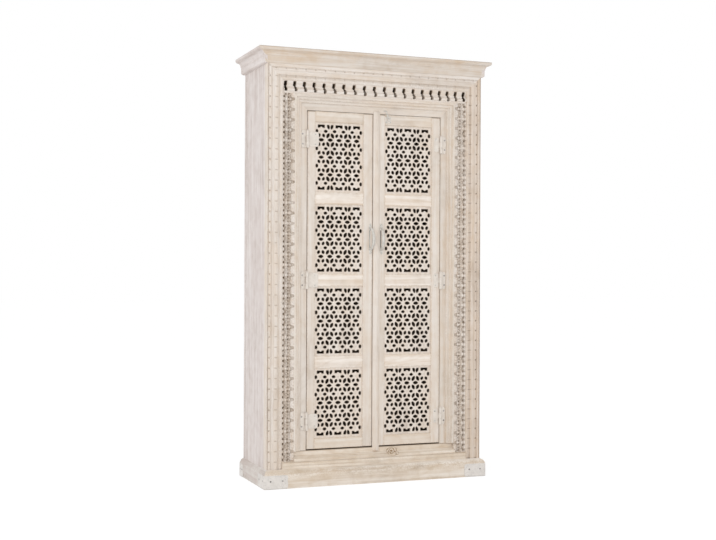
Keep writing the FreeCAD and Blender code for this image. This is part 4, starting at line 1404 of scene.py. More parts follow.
@dataclass
class PetalBand:
    """A deep carved band: beads, pits and crescents that repeat up the side of the doors."""

    pitch: float = 0.045
    cell: float = 0.0013
    ridge_depth: float = 0.009
    middle_depth: float = 0.013
    course_depth: float = 0.012
    back_depth: float = 0.048
    bead_height: float = 0.007
    pit_depth: float = 0.011
    softness: float = 0.0013
    crescent_radius: float = 0.0125
    crescent_width: float = 0.0024
    wedge_start: float = 0.034
    wedge_end: float = 0.070
    wedge_height: float = 0.0110
    shadow_start: float = 0.003
    shadow_end: float = 0.043
    shadow_fade_in: float = 0.003
    shadow_fade_out: float = 0.006
    hand_shift: float = 0.0016
    bead_groove: float = 0.0018
    bead_groove_width: float = 0.0011
    bead_groove_gap: float = 0.001
    crescent_cut: float = 0.6
    wedge_cut: float = 0.35
    floor_wave: float = 0.0012
    edge_fade: float = 0.0015
    depth_limits: tuple[float, float] = (0.001, 0.045)
    shadow_glaze: float = 0.19
    between_shade: float = 0.22
    between_width: float = 0.32
    speckle_glaze: float = 0.30
    pit_shade: float = 0.85
    crescent_shade: float = 0.38
    wedge_shade: float = 0.46
    bead_rim: float = 0.0008
    patch_glaze: float = 0.8
    patch_change: float = 0.45
    back_glaze: float = 0.5
    shades: dict[Side, float] = field(default_factory=lambda: {Side.RIGHT: 0.85, Side.LEFT: 1.0})
    beads: tuple[Mark, ...] = (
        Mark(0.016, 0.0, 0.0050, 0.0084, 1.0), Mark(0.036, 0.0, 0.0046, 0.0072, 0.9),
        Mark(0.0, 0.5, 0.0070, 0.0080, 0.6), Mark(0.021, 0.5, 0.0052, 0.0048, 0.3),
        Mark(0.032, 0.38, 0.0034, 0.0040, 0.25), Mark(0.032, 0.62, 0.0034, 0.0040, 0.25),
        Mark(0.050, 0.5, 0.0050, 0.0090, 0.4), Mark(0.026, 0.22, 0.0028, 0.0030, 0.25),
    )
    pits: tuple[Mark, ...] = (
        Mark(0.0068, 0.25, 0.0034, 0.0052, 1.0), Mark(0.0068, 0.75, 0.0034, 0.0052, 1.0),
        Mark(0.0275, 0.18, 0.0034, 0.0038, 0.8), Mark(0.0275, 0.82, 0.0034, 0.0038, 0.8),
        Mark(0.0265, 0.5, 0.0026, 0.0026, 0.5), Mark(0.0380, 0.30, 0.0024, 0.0036, 0.4),
        Mark(0.0380, 0.70, 0.0024, 0.0036, 0.4),
    )

    def outside(self, u: Array, v: Array, mark: Mark) -> Array:
        """Return the rough distance outside one oval of the repeat."""
        off = (v / self.pitch - mark.phase + 0.5) % 1 - 0.5
        reach = np.hypot((u - mark.across) / mark.half_across, off * self.pitch / mark.half_along)
        return (reach - 1) * min(mark.half_across, mark.half_along)

    def soft(self, distance: Array) -> Array:
        """Return 1 inside an outline and 0 outside, over a short soft edge."""
        return np.clip(0.5 - distance / (2 * self.softness), 0, 1)

    def warped(self, u: Array, v: Array) -> tuple[Array, Array]:
        """Return the distances moved a little, so that no two motifs are cut alike."""
        return (
            u + self.hand_shift * ripple(u, v, seed=72, length=0.07),
            v + self.hand_shift * ripple(u, v, seed=73, length=0.07),
        )

    def cuts(self, u: Array, v: Array) -> Points:
        """Return the pits, the crescent round the ridge's half bead and the wedge beside the courses."""
        pits = np.zeros(np.shape(u))
        for mark in self.pits:
            pits = np.maximum(pits, mark.level * self.soft(self.outside(u, v, mark)))
        radius = self.crescent_radius
        ring = self.outside(u, v, Mark(0.0, 0.5, radius, radius, 1.0))
        crescent = self.soft(np.abs(ring) - self.crescent_width)
        off = np.abs((v / self.pitch + 0.5) % 1 - 0.5) * self.pitch
        rise = self.wedge_height * np.clip((self.wedge_end - u) / (self.wedge_end - self.wedge_start), 0, 1)
        wedge = self.soft(np.maximum(off - rise, self.wedge_start - u))
        return pits, crescent, wedge

    def depth(self, u: Array, v: Array, width: float) -> Array:
        """Return the band's depth from the ridge (u 0) to the courses (u width).

        The floor sags between the two. Beads rise from it with round tops and a groove round them, and the
        pits, the crescent and the wedge are cut down.
        """
        share = np.clip(u / width, 0, 1)
        edge = self.ridge_depth + (self.course_depth - self.ridge_depth) * share
        deep = edge + (self.middle_depth - self.ridge_depth) * np.sin(math.pi * share)
        at_u, at_v = self.warped(u, v)
        for mark in self.beads:
            outside = self.outside(at_u, at_v, mark)
            inward = np.clip(-outside / min(mark.half_across, mark.half_along), 0, 1)
            round_top = np.sqrt(np.clip(1 - np.square(1 - inward), 0, 1))
            groove = self.bead_groove * near(outside - self.bead_groove_gap, self.bead_groove_width)
            deep = deep - self.bead_height * mark.level * round_top + groove
        pits, crescent, wedge = self.cuts(at_u, at_v)
        cut = np.maximum(np.maximum(pits, self.crescent_cut * crescent), self.wedge_cut * wedge)
        deep = deep + self.pit_depth * cut
        fade = np.clip(np.minimum(u, width - u) / self.edge_fade, 0, 1)
        waves = uneven(self.floor_wave, u, v, seed=71, length=0.05)
        return np.clip(edge + (deep + waves - edge) * fade, *self.depth_limits)

    def glaze(self, u: Array, v: Array) -> Array:
        """Return how dark the band is painted: brown glaze with painted shade, deep in the cuts, thin in the
        shade between the beads.
        """
        at_u, at_v = self.warped(u, v)
        pits, crescent, wedge = self.cuts(at_u, at_v)
        off = np.abs((at_v / self.pitch) % 1 - 0.5)
        zone = np.clip((at_u - self.shadow_start) / self.shadow_fade_in, 0, 1)
        zone = zone * np.clip((self.shadow_end - at_u) / self.shadow_fade_out, 0, 1)
        speckle = self.speckle_glaze * ripple(u, v, seed=75, length=0.014)
        shadow = zone * (self.between_shade * near(off, self.between_width) + self.shadow_glaze + speckle)
        beads = np.zeros(np.shape(u))
        for mark in self.beads:
            inside = self.soft(self.outside(at_u, at_v, mark) + self.bead_rim)
            beads = np.maximum(beads, mark.level * inside)
        patch = self.patch_glaze + self.patch_change * ripple(u, v, seed=74, length=0.11)
        # The cuts and pits are painted dark: painted shade in them.
        cut = np.maximum(self.crescent_shade * crescent, (self.wedge_shade + speckle) * wedge)
        base = np.maximum(shadow, cut) * (1 - beads)
        return np.clip(np.maximum(base, self.pit_shade * pits) * patch, 0, 1)

    def build(self) -> None:
        """Dress both bands. Their repeats run level with each other."""
        right = Block.of("petal_band_right")
        front_y = Block.of("frame_head").low[1]
        width = right.size[0]

        def place(u: Array, v: Array, d: Array) -> Points:
            """Run from the ridge inwards and from the foot up."""
            return right.high[0] - u, front_y + d, right.low[2] + v

        across = stations(width, self.cell)
        along = stations(right.size[2], self.cell)
        u, v = np.meshgrid(across, along)
        dark = np.pad(self.glaze(u, v), ((0, 0), (0, 2)), constant_values=self.back_glaze).ravel()
        skin = relief(across, along, lambda u, v: self.depth(u, v, width), place, self.back_depth, 0.0)
        for seed, (side, shade) in enumerate(self.shades.items(), 5):
            skin.sunk = dark * shade
            turned = skin if side is Side.RIGHT else skin.mirrored()
            dress("petal_band_" + side.word, turned, CARVED, Axis.Z, seed=seed)


@dataclass
class SteppedCourses:
    """The stepped courses and the flat strip round the doors: two jambs and a head."""

    course_width: float = 0.035
    course_count: int = 3
    front_depth: float = 0.012
    strip_depth: float = 0.0335
    head_strip_height: float = 0.030
    back_depth: float = 0.048
    soft: float = 0.0018
    across_step: float = 0.0022
    along_step: float = 0.0032
    pitch: float = 0.045
    nick_depth: float = 0.0012
    nick_width: float = 0.0015
    nick_lean: float = 0.7
    crown: float = 0.0006
    wave: float = 0.0004

    def depth(self, w: Array, v: Array, courses: float) -> Array:
        """Return the steps' depth, with cuts across the first course and short nicks in the others."""
        fall = (self.strip_depth - self.front_depth) / self.course_count
        tread = courses / self.course_count
        breaks = [0.0]
        depths = [self.front_depth]
        for i in range(self.course_count):
            edge = (i + 1) * tread
            breaks += [edge - self.soft, edge + self.soft]
            level = self.front_depth + i * fall
            depths += [level, level + fall]
        base = np.interp(w, breaks, depths)
        cut = 0.0
        for i in range(self.course_count):
            phase = (v + i * self.pitch / 3 + self.pitch / 2) % self.pitch - self.pitch / 2
            on_course = (w > i * tread) & (w < (i + 1) * tread - self.soft)
            lean = phase - (w - i * tread) * (self.nick_lean if i else 0.0)
            cut = cut + self.nick_depth * (0.5 if i else 1.0) * near(lean, self.nick_width) * on_course
        crown = self.crown * np.abs(np.sin(math.pi * w / tread)) * (w < courses)
        return base + cut - crown + uneven(self.wave, w, v, seed=81, length=0.11) + self.crown

    def carved(self, along: Array, courses: float, width: float, place: Callable) -> Skin:
        """Return a run of the courses and the strip beside them."""
        tread = courses / self.course_count
        breaks = [0, *[tread * (i + 1) for i in range(self.course_count)], width]
        across = profile_stations(breaks, self.across_step, self.soft)
        return relief(across, along, lambda w, v: self.depth(w, v, courses), place, self.back_depth,
                      wear=250.0, sink=0.09, fall=1.0)

    def build(self) -> None:
        """Dress the two jambs and the head, which meet in mitres."""
        right = Block.of("jamb_right")
        head = Block.of("head_courses")
        front_y = Block.of("frame_head").low[1]
        edge = right.high[0]
        height = head.size[2]
        mitre_w = [0, self.course_width, right.size[0]]
        mitre_h = [0, height - self.head_strip_height, height]

        def place_jamb(w: Array, v: Array, d: Array) -> Points:
            """Cut the jamb's top along the mitre and leave its foot square."""
            top = right.size[2] - np.interp(w, mitre_w, mitre_h)
            return edge - w, front_y + d, right.low[2] + v * top / right.size[2]

        def place_head(w: Array, v: Array, d: Array) -> Points:
            """Cut both ends along the mitre."""
            end = edge - np.interp(w, mitre_h, mitre_w)
            return v * end / edge, front_y + d, head.high[2] - w

        skin = self.carved(stations(right.size[2], self.along_step), *mitre_w[1:], place_jamb)
        dress("jamb_right", skin, SHADED_STRIP_WASH, Axis.Z, seed=6)
        dress("jamb_left", skin.mirrored(), WASHED, Axis.Z, seed=7)
        skin = self.carved(stations(2 * edge, self.along_step) - edge, *mitre_h[1:], place_head)
        dress("head_courses", skin, WASHED, Axis.X, seed=8)


@dataclass
class Base:
    """The moulded sill under the doors and the plinth on three sides."""

    sill_lower_height: float = 0.028
    sill_shelf_height: float = 0.017
    groove_height: float = 0.004
    groove_depth: float = 0.0022
    groove_shares: tuple[float, float] = (0.36, 0.93)
    plinth_height: float = 0.066
    cap_height: float = 0.014
    cap_setback: float = 0.005
    plinth_arris: float = 0.003
    side_proud: float = 0.017
    front_proud: float = 0.0245
    step: float = 0.025
    wander: float = 0.0007
    wave_length: float = 0.3
    sill_wave: float = 0.0004
    sill_arris: float = 0.0012
    sill_across_step: float = 0.0035
    sill_soft: float = 0.0006
    sill_back_foot: float = 0.004

    def sill(self) -> None:
        """Dress the sill: a grooved lower part, a shelf and the flat riser under the doors."""
        block = Block.of("sill")
        front_y = block.low[1]
        plinth_top = self.plinth_height + self.cap_height
        band_foot = plinth_top + self.sill_lower_height
        groove_feet = [plinth_top + self.sill_lower_height * share for share in self.groove_shares]

        def depth(w: Array, v: Array) -> Array:
            """Two level grooves, and a soft edge at the top."""
            z = block.low[2] + w
            deep = self.sill_arris * near(z - band_foot, self.sill_arris)
            deep = deep + uneven(self.sill_wave, w, v, seed=91, length=0.2)
            for foot in groove_feet:
                rise = np.abs(z - (foot + self.groove_height / 2)) / (self.groove_height / 2)
                deep = deep + self.groove_depth * np.clip(1.6 - rise * 1.2, 0, 1)
            return deep

        def place(w: Array, v: Array, d: Array) -> Points:
            """Run along X with heights across."""
            return v, front_y + d, block.low[2] + w

        grooves = [edge for foot in groove_feet for edge in (foot, foot + self.groove_height)]
        breaks = [0, plinth_top - self.sill_back_foot, *grooves, band_foot]
        across = profile_stations(breaks, self.sill_across_step, self.sill_soft)
        along = stations(block.size[0], self.step / 2) + block.low[0]
        lower = relief(across, along, depth, place, block.size[1], sink=0.02)
        dress("sill", Skin.joined([lower, self.shelf(block, band_foot)]), KNOTTED, Axis.X, seed=9)

    def shelf(self, block: Block, foot: float) -> Skin:
        """Return the sill's upper part: a soft lip, a slope back to the riser, and painted shade on its top
        in the gap under the doors.
        """
        front_y, back_y, top = block.low[1], block.high[1], block.high[2]
        strip_y = front_y + SteppedCourses().strip_depth
        shelf_top = foot + self.sill_shelf_height
        course_edge = Block.of("jamb_right").high[0]
        # The last column is how dark each point is painted: painted shade under the lip and on the top behind
        # the riser.
        y, z, rub, dark = np.array([
            (back_y, foot, 0, 0), (front_y + 0.002, foot, 0.2, 0.2), (front_y + 0.0006, foot + 0.002, 0.2, 0),
            (front_y + 0.0004, foot + 0.009, 0.2, 0), (front_y + 0.0015, foot + 0.0118, 0.5, 0),
            (front_y + 0.0045, foot + 0.0135, 0.3, 0), (strip_y - 0.004, shelf_top + 0.004, 0, 0),
            (strip_y, shelf_top + 0.007, 0, 0), (strip_y, top - 0.004, 0, 0), (strip_y + 0.0012, top, 0, 0.9),
            (back_y, top, 0, 1),
        ]).T
        share = np.linspace(-1, 1, int(2 * course_edge / self.step))
        return loft(rings_of(share[:, None] * course_edge, y, z), rub, dark)

    def plinth(self) -> None:
        """Dress the plinth's front and sides: an upright, a soft arris and a sloping cap."""
        head = Block.of("frame_head")
        half, face_y = head.high[0], head.low[1]
        back_y = Block.of("plinth_left").high[1]
        angle = np.linspace(0, math.pi / 2, CORNER_STEPS)
        arris = self.plinth_arris
        out = np.concatenate([
            [0.97, 1.0, 1.0], 1 - arris / self.side_proud * (1 - np.cos(angle)),
            [1 - self.cap_setback / self.side_proud, 0.0],
        ])
        z = np.concatenate([
            [0.0, 0.001, 0.03], self.plinth_height - arris + arris * np.sin(angle),
            [self.plinth_height + self.cap_height / 2, self.plinth_height + self.cap_height, 0.0],
        ])
        section = Moulding(
            x=np.append(half + self.side_proud * out, half),
            y=np.append(face_y - self.front_proud * out, face_y), z=z,
            rubbed=np.concatenate([[0.5, 0.1, 0.0], np.ones(len(angle)), [0.6, 0.0, 0.0]]),
            outer=len(out) - 1, step=self.step, wander=self.wander, wave_length=self.wave_length,
        )
        dress("plinth_front", section.front(half, 95), FOOT_WASH, Axis.X, seed=10)
        skin = section.side(back_y, back_y - face_y, 96)
        dress("plinth_right", skin, SIDE_WASH, Axis.Y, seed=11)
        dress("plinth_left", skin.mirrored(), SHADED_WASH, Axis.Y, seed=12)

    def build(self) -> None:
        """Dress the sill and the plinth."""
        self.sill()
        self.plinth()


@dataclass
class Lattice:
    """A pierced panel: rows of nodes half a spacing apart, with a pointed hole on every line between two."""

    side_margin: float = 0.009
    end_margin: float = 0.011
    columns: int = 5
    rows: int = 7
    end_row_share: float = 0.74
    long_share: float = 0.26
    long_width_share: float = 0.138
    short_share: float = 0.178
    short_width_share: float = 0.125
    side_reach_share: float = 0.125
    side_height_share: float = 0.18
    side_spill: float = 0.0052
    slot_half_share: float = 0.36
    slot_notch_half_share: float = 0.17
    slot_notch_share: float = 0.17
    slot_depth_share: float = 0.29
    end_hole_share: float = 0.125
    end_hole_place_share: float = 0.40
    cell: float = 0.0017
    hand_shift: float = 0.00035
    hand_size: float = 0.05
    hole_growth: float = 0.0010
    rim_rise: float = 0.0007
    rim_width: float = 0.0022
    bevel: float = 0.0009
    petal_count: int = 6
    petal_ring: float = 0.0052
    petal_width: float = 0.0017
    petal_cut: float = 0.0011
    rosette_glaze: float = 0.12
    # How dark the rim of each hole is painted: painted shade.
    rim_shade: float = 0.3
    rim_strip: float = 0.0016
    face_wave: float = 0.0004

    def holes(self, width: float, height: float, seed: int) -> tuple[Array, Array, Array, Array, Array]:
        """Return the pointed holes of one panel about its middle.

        Every second row has rosettes at its first, third and fifth nodes, with short holes round them.

        Args:
            width: The panel's width.
            height: Its height.
            seed: Chooses the small differences of the hand that cut it.

        Returns:
            The holes' middles, directions, half lengths and half widths, and the rosettes' middles.
        """
        pitch = (width - 2 * self.side_margin) / self.columns
        field_top = height / 2 - self.end_margin
        row = 2 * field_top / (self.rows - 1 + 2 * self.end_row_share)
        x_of = (np.arange(self.columns) - (self.columns - 1) / 2) * pitch
        z_of = (np.arange(self.rows) - (self.rows - 1) / 2) * row
        slant = np.array([pitch / 2, row]) / math.hypot(pitch / 2, row)
        long = (pitch * self.long_share, pitch * self.long_width_share)
        short = (pitch * self.short_share, pitch * self.short_width_share)
        edge = (pitch * self.side_height_share, pitch * self.side_reach_share)
        sides = (-1, 1)
        holes = []
        rosettes = []
        for j, z in enumerate(z_of):
            if j % 2 == 0:
                holes += [(x, z, 1, 0, *short) for x in x_of[:-1] + pitch / 2]
                holes += [(side * pitch * self.columns / 2, z, 0, 1, *edge) for side in sides]
                rosettes += [(x, z) for x in x_of[::2]]
            else:
                holes += [(x, z, 1, 0, *long) for x in x_of]
        for j, z in enumerate(z_of[:-1] + row / 2):
            up = 1 if j % 2 == 0 else -1
            for i, x in enumerate(x_of):
                size = long if i % 2 else short
                holes += [(x + side * pitch / 4, z, side * slant[0], up * slant[1], *size) for side in sides]
        for end in sides:
            tip_z = z_of[-1] * end + end * (row / 2 - slant[1] * long[0])
            for x in x_of[1::2]:
                for side in sides:
                    top = np.array([x + side * pitch / 4, end * field_top])
                    tip = np.array([top[0] - side * slant[0] * long[0], tip_z])
                    middle = top + (tip - top) * self.end_hole_place_share
                    way = np.linalg.norm(middle - tip)
                    holes.append((*middle, *((middle - tip) / way), way, pitch * self.end_hole_share))
        table = np.array(holes)
        random = np.random.default_rng(seed)
        centre = table[:, :2] + random.uniform(-1, 1, (len(table), 2)) * self.hand_shift
        size = 1 + random.uniform(-1, 1, len(table)) * self.hand_size
        return centre, table[:, 2:4], table[:, 4] * size, table[:, 5] * size, np.array(rosettes)

    def panel(self, block: Block, seed: int) -> Skin:
        """Return one pierced panel.

        A pointed hole is what two circles share, so the distance to its edge is the larger of the two
        distances to the circles. An arched slot is a rectangle less a circle that rises into it.

        Args:
            block: The space that the panel fills.
            seed: Chooses the hand's small differences.

        Returns:
            The closed skin.
        """
        width, _, height = block.size
        middle_x, _, middle_z = block.middle
        centre, turn, half, wide, rosettes = self.holes(width, height, seed)
        radius = (half ** 2 + wide ** 2) / (2 * wide)
        off = np.stack([-turn[:, 1], turn[:, 0]], -1) * (radius - wide)[:, None]
        circles = [(*spot, r) for side in (1, -1) for spot, r in zip(centre + side * off, radius)]
        pairs = list(zip(circles[:len(radius)], circles[len(radius):]))
        pitch = (width - 2 * self.side_margin) / self.columns
        field_top = height / 2 - self.end_margin
        slots = (np.arange(self.columns) - (self.columns - 1) / 2)[::2] * pitch
        notch_rise = pitch * (self.slot_depth_share - self.slot_notch_share)
        notch_half = pitch * self.slot_notch_half_share
        arch = (notch_half ** 2 + notch_rise ** 2) / (2 * notch_rise)

        def clear(x: Array, z: Array) -> Array:
            """The distance to the nearest hole, kept within the pierced field and a little past its sides."""
            px = x - middle_x
            pz = z - middle_z
            best = np.full(px.shape, 1.0)
            for pair in pairs:
                best = np.minimum(best, np.maximum(*(np.hypot(px - cx, pz - cz) - r for cx, cz, r in pair)))
            for slot in slots:
                side = np.abs(px - slot) - pitch * self.slot_half_share
                foot = field_top - pitch * self.slot_depth_share - np.abs(pz)
                rise = np.abs(pz) - (field_top - pitch * self.slot_notch_share - arch)
                hump = arch - np.hypot(px - slot, rise)
                best = np.minimum(best, np.maximum(np.maximum(side, foot), hump))
            past_side = np.abs(px) - pitch * self.columns / 2 - self.side_spill
            return np.maximum(np.maximum(best - self.hole_growth, past_side), np.abs(pz) - field_top)

        def front(x: Array, z: Array, space: Array) -> Array:
            """A raised rim with a soft edge round each hole, and a cut flower on each rosette."""
            px = x - middle_x
            pz = z - middle_z
            deep = self.rim_rise * (1 - near(space - self.rim_width / 2, self.rim_width))
            deep = deep + self.bevel * np.clip(1 - space / (0.6 * self.rim_width), 0, 1) ** 2
            for rx, rz in rosettes:
                away = np.hypot(px - rx, pz - rz)
                petal = 0.5 + 0.5 * np.cos(self.petal_count * np.arctan2(pz - rz, px - rx))
                deep = deep + self.petal_cut * near(away - self.petal_ring, self.petal_width) * petal
                deep = deep + self.petal_cut * 0.8 * near(away, self.petal_width * 0.8)
            return block.low[1] + deep + uneven(self.face_wave, px, pz, seed=seed + 5, length=0.04)

        xs = block.places(Axis.X, self.cell)
        zs = block.places(Axis.Z, self.cell)
        skin = pierced(xs, zs, clear, front, block.high[1], self.rim_strip, rim_shade=self.rim_shade)
        for rx, rz in rosettes:
            away = np.hypot(skin.points[:, 0] - middle_x - rx, skin.points[:, 2] - middle_z - rz)
            skin.sunk = np.maximum(skin.sunk, self.rosette_glaze * near(away, self.petal_ring))
        return skin


@dataclass
class DoorLeaf:
    """One door: two stiles, five rails and four pierced panels."""

    side: Side
    panel_count: int = 4
    foot_lift: float = 0.0032
    hinge_gap_shade: dict[Side, float] = field(default_factory=lambda: {Side.LEFT: 0.1, Side.RIGHT: 0.35})
    top_gap_shade: float = 0.75
    astragal_points: int = 13
    astragal_step: float = 0.03
    astragal_wave: float = 0.03
    astragal_end: tuple[Triple, ...] = (
        (0.0, 0.72, 0.8), (0.0012, 0.88, 0.8), (0.003, 0.97, 0.4), (0.006, 1.0, 0.0),
    )
    lattice: Lattice = field(default_factory=Lattice)
    edging: Edging = Edging(radius=0.0007, strip=0.006, wave=0.0002)

    def build(self) -> None:
        """Dress the leaf's boards and panels, and the strip on the right leaf."""
        word = self.side.word
        base = 100 + 20 * self.side.value
        for i, part in enumerate(("hinge_stile", "meeting_stile")):
            block = self.lifted(Block.of(f"{word}_{part}"))
            skin = board(block, Axis.Z, base + i, self.edging)
            if part == "hinge_stile":
                # The hinge edge and the top edge are painted dark: painted shade in the gaps round the leaf.
                edge = block.high[0] if self.side is Side.RIGHT else block.low[0]
                skin = skin.painted_shade_at(Axis.X, edge, self.hinge_gap_shade[self.side])
            skin = skin.painted_shade_at(Axis.Z, block.high[2], self.top_gap_shade)
            dress(f"{word}_{part}", skin, WASHED, Axis.Z, seed=13 + i)
        rails = {"bottom_rail": RAIL_WASH, "top_rail": RAIL_WASH, "mid_rails": MID_RAIL_WASH}
        for i, (part, finish) in enumerate(rails.items()):
            blocks = solid_blocks(f"{word}_{part}")
            if part == "bottom_rail":
                blocks = [self.lifted(block) for block in blocks]
            skins = [board(block, Axis.X, base + 5 + j, self.edging) for j, block in enumerate(blocks)]
            skin = Skin.joined(skins)
            # The top rail's upper edge is painted dark: painted shade in the gap above the leaf.
            if part == "top_rail":
                skin = skin.painted_shade_at(Axis.Z, blocks[0].high[2], self.top_gap_shade)
            dress(f"{word}_{part}", skin, finish, Axis.X, seed=15 + i)
        for i in range(1, self.panel_count + 1):
            node = f"{word}_jali_{i}"
            panel = self.lattice.panel(Block.of(node), base + 10 + i)
            dress(node, panel, JALI_WASH, Axis.Z, seed=18 + i % 2)
        if self.side is Side.RIGHT:
            self.astragal()

    def lifted(self, block: Block) -> Block:
        """Return a block whose foot stands a little higher, which widens the joint under the door."""
        return Block(block.low + np.array([0, 0, self.foot_lift]), block.high)

    def astragal(self) -> None:
        """Dress the half-round strip: an arc of a circle carried up the leaf, with its ends rounded over."""
        block = Block.of("right_astragal")
        half, rise = block.size[0] / 2, block.size[1]
        radius = (half ** 2 + rise ** 2) / (2 * rise)
        top = math.asin(half / radius)
        angle = np.linspace(-top, top, self.astragal_points)
        x = np.append(radius * np.sin(angle), [half, -half])
        y = np.append(rise - radius * (1 - np.cos(angle)), [0.0, 0.0])
        end, low, end_rub = np.array(self.astragal_end).T
        inner = stations(block.size[2] - 2 * end[-1], self.astragal_step)[1:-1] + end[-1]
        along = np.concatenate([end, inner, block.size[2] - end[::-1]])
        scale = np.concatenate([low, np.ones(len(inner)), low[::-1]])
        scale = scale - uneven(self.astragal_wave, along, seed=131, length=0.5)
        depth = np.maximum(y * scale[:, None], 0)
        rub = np.concatenate([end_rub, np.zeros(len(inner)), end_rub[::-1]])
        rings = rings_of(block.middle[0] + x, block.high[1] - depth, block.low[2] + along[:, None])
        dress("right_astragal", loft(rings, rub[:, None]), WASHED, Axis.Z, seed=20)


def plate(block: Block, seed: int, wobble: float, power: float = 5.0, points: int = 48) -> Skin:
    """Return a forged plate that faces the front: rings of one squarish outline, drawn in at its face.

    The outline is a superellipse, x and z as signed powers of a cosine and a sine, less a little that
    wanders round it.

    Args:
        block: The space that the plate fills.
        seed: Chooses the wandering.
        wobble: The most that the outline loses, as a share.
        power: The outline's squareness.
        points: The points round it.

    Returns:
        The closed skin.
    """
    width, thick, height = block.size
    angle = np.arange(points) * math.tau / points
    waves = (np.cos(angle), np.sin(angle))
    kept = 1 - uneven(wobble, *waves, seed=seed, length=1.4)
    x, z = (np.sign(wave) * np.abs(wave) ** (2 / power) * kept for wave in waves)
    draw, level, rub = np.array([
        (1.0, 0.0, 0.4), (1.0, 0.55, 0.8), (0.985, 0.85, 1.0), (0.93, 0.97, 0.4), (0.6, 1.0, 0.0),
        (0.2, 0.97, 0.0),
    ]).T[:, :, None]
    rings = rings_of(x * draw * width / 2, (0.5 - level) * thick, z * draw * height / 2)
    return loft(rings + block.middle, rub)


@dataclass
class Nails:
    """Every nail: a low dome of four rings on the nail's own foot."""

    finishes: tuple[tuple[str, Iron], ...] = (
        ("iron_nails", NAIL_IRON), ("left_leaf_nails", WORN_IRON), ("right_leaf_nails", WORN_IRON),
    )
    dome: tuple = ((0.0, 1.0, 0.2), (0.45, 0.93, 0.5), (0.8, 0.66, 1.0), (1.0, 0.2, 1.0))
    sides: int = 10

    def head(self, block: Block) -> Skin:
        """Return one nail's head, which looks away from the cabinet along its shortest size."""
        axis = int(np.argmin(block.size))
        way = np.zeros(3)
        way[axis] = math.copysign(block.size[axis], block.middle[axis])
        foot = block.middle.copy()
        foot[axis] -= way[axis] / 2
        return rod(foot, way, np.max(block.size) / 2, self.dome, self.sides, (0, 0, 1))

    def build(self) -> None:
        """Dress the nails of each node."""
        for node, finish in self.finishes:
            skins = [self.head(block) for block in solid_blocks(node)]
            dress(node, Skin.joined(skins), finish, Axis.Z, seed=5)


@dataclass
class Hinges:
    """Three butt hinges a side: a plate and barrel pieces on each half, and loose pins."""

    knuckle_radius: float = 0.0065
    knuckle_length: float = 0.026
    knuckle_gap: float = 0.0004
    knuckle: tuple = (
        (0, 0.86, 1), (0.02, 0.95, 1), (0.06, 1, 0.6), (0.3, 0.97, 0), (0.5, 0.95, 0), (0.7, 0.97, 0),
        (0.94, 1, 0.6), (0.98, 0.95, 1), (1, 0.86, 1),
    )
    pin: tuple = (
        (0, 0.5, 0.6), (0.01, 0.6, 0.6), (0.975, 0.6, 0.6), (0.98, 0.95, 0.6), (0.985, 1, 0.6),
        (0.995, 0.8, 0.6), (1, 0.3, 0.6),
    )
    plate_gap: float = 0.0005
    plate_thickness: float = 0.002
    plate_wobble: float = 0.05
    bend_reach: float = 0.003
    bend_rise: float = 0.0035
    bend_gap: float = 0.0002
    bend_margin: float = 0.0005
    bend_edging: Edging = Edging(radius=0.0006, strip=0.002, wave=0.0)

    def half(self, block: Block, pin: Array, spans: list, face_y: float, seed: int) -> Skin:
        """Return one hinge half: its plate, its barrel pieces and the bends between them.

        Args:
            block: The space of the CAD hinge half.
            pin: The middle of its pin.
            spans: The foot and top of each barrel piece.
            face_y: The wood's face that the plate lies on.
            seed: Chooses the plate's outline.

        Returns:
            The closed skins, joined.
        """
        side = 1 if abs(block.high[0] - pin[0]) > abs(block.low[0] - pin[0]) else -1
        near_x = pin[0] + side * (self.knuckle_radius + self.plate_gap)
        far_x = block.high[0] if side > 0 else block.low[0]
        flat = block.limited(x=sorted((near_x, far_x)), y=(face_y - self.plate_thickness, face_y))
        skins = [plate(flat, seed, self.plate_wobble)]
        for z0, z1 in spans:
            foot = np.array([pin[0], pin[1], z0])
            skins.append(rod(foot, np.array([0, 0, z1 - z0]), self.knuckle_radius, self.knuckle, 20))
            bend = block.limited(
                x=sorted((pin[0], near_x + side * self.bend_reach)),
                y=(pin[1] + self.bend_rise, face_y - self.bend_gap),
                z=(z0 + self.bend_margin, z1 - self.bend_margin),
            )
            skins.append(board(bend, Axis.Z, seed, self.bend_edging))
        return Skin.joined(skins)

    def build(self) -> None:
        """Dress the halves on the frame and on both leaves, and the pins."""
        pins = solid_blocks("hinge_pins")
        half = self.knuckle_length / 2
        leaf_y = Block.of("left_hinge_stile").low[1]
        surfaces = {"hinge_frame_plates": Block.of("hinge_frame_plates").high[1],
                    "left_hinge_plates": leaf_y, "right_hinge_plates": leaf_y}
        for node, face_y in surfaces.items():
            skins = []
            for i, block in enumerate(solid_blocks(node)):
                pin = min(pins, key=lambda one: np.linalg.norm(one.middle - block.middle)).middle
                z = block.middle[2]
                spans = [(z - half, z + half)]
                if node == "hinge_frame_plates":
                    low = z - half - self.knuckle_gap
                    high = z + half + self.knuckle_gap
                    spans = [(low - self.knuckle_length, low), (high, high + self.knuckle_length)]
                skins.append(self.half(block, pin, spans, face_y, 140 + i))
            dress(node, Skin.joined(skins), WASHED_IRON, Axis.Z)
        skins = []
        for block in pins:
            foot = np.array([*block.middle[:2], block.low[2]])
            skins.append(rod(foot, np.array([0, 0, block.size[2]]), block.size[0] / 2, self.pin, 14))
        dress("hinge_pins", Skin.joined(skins), WASHED_IRON, Axis.Z)


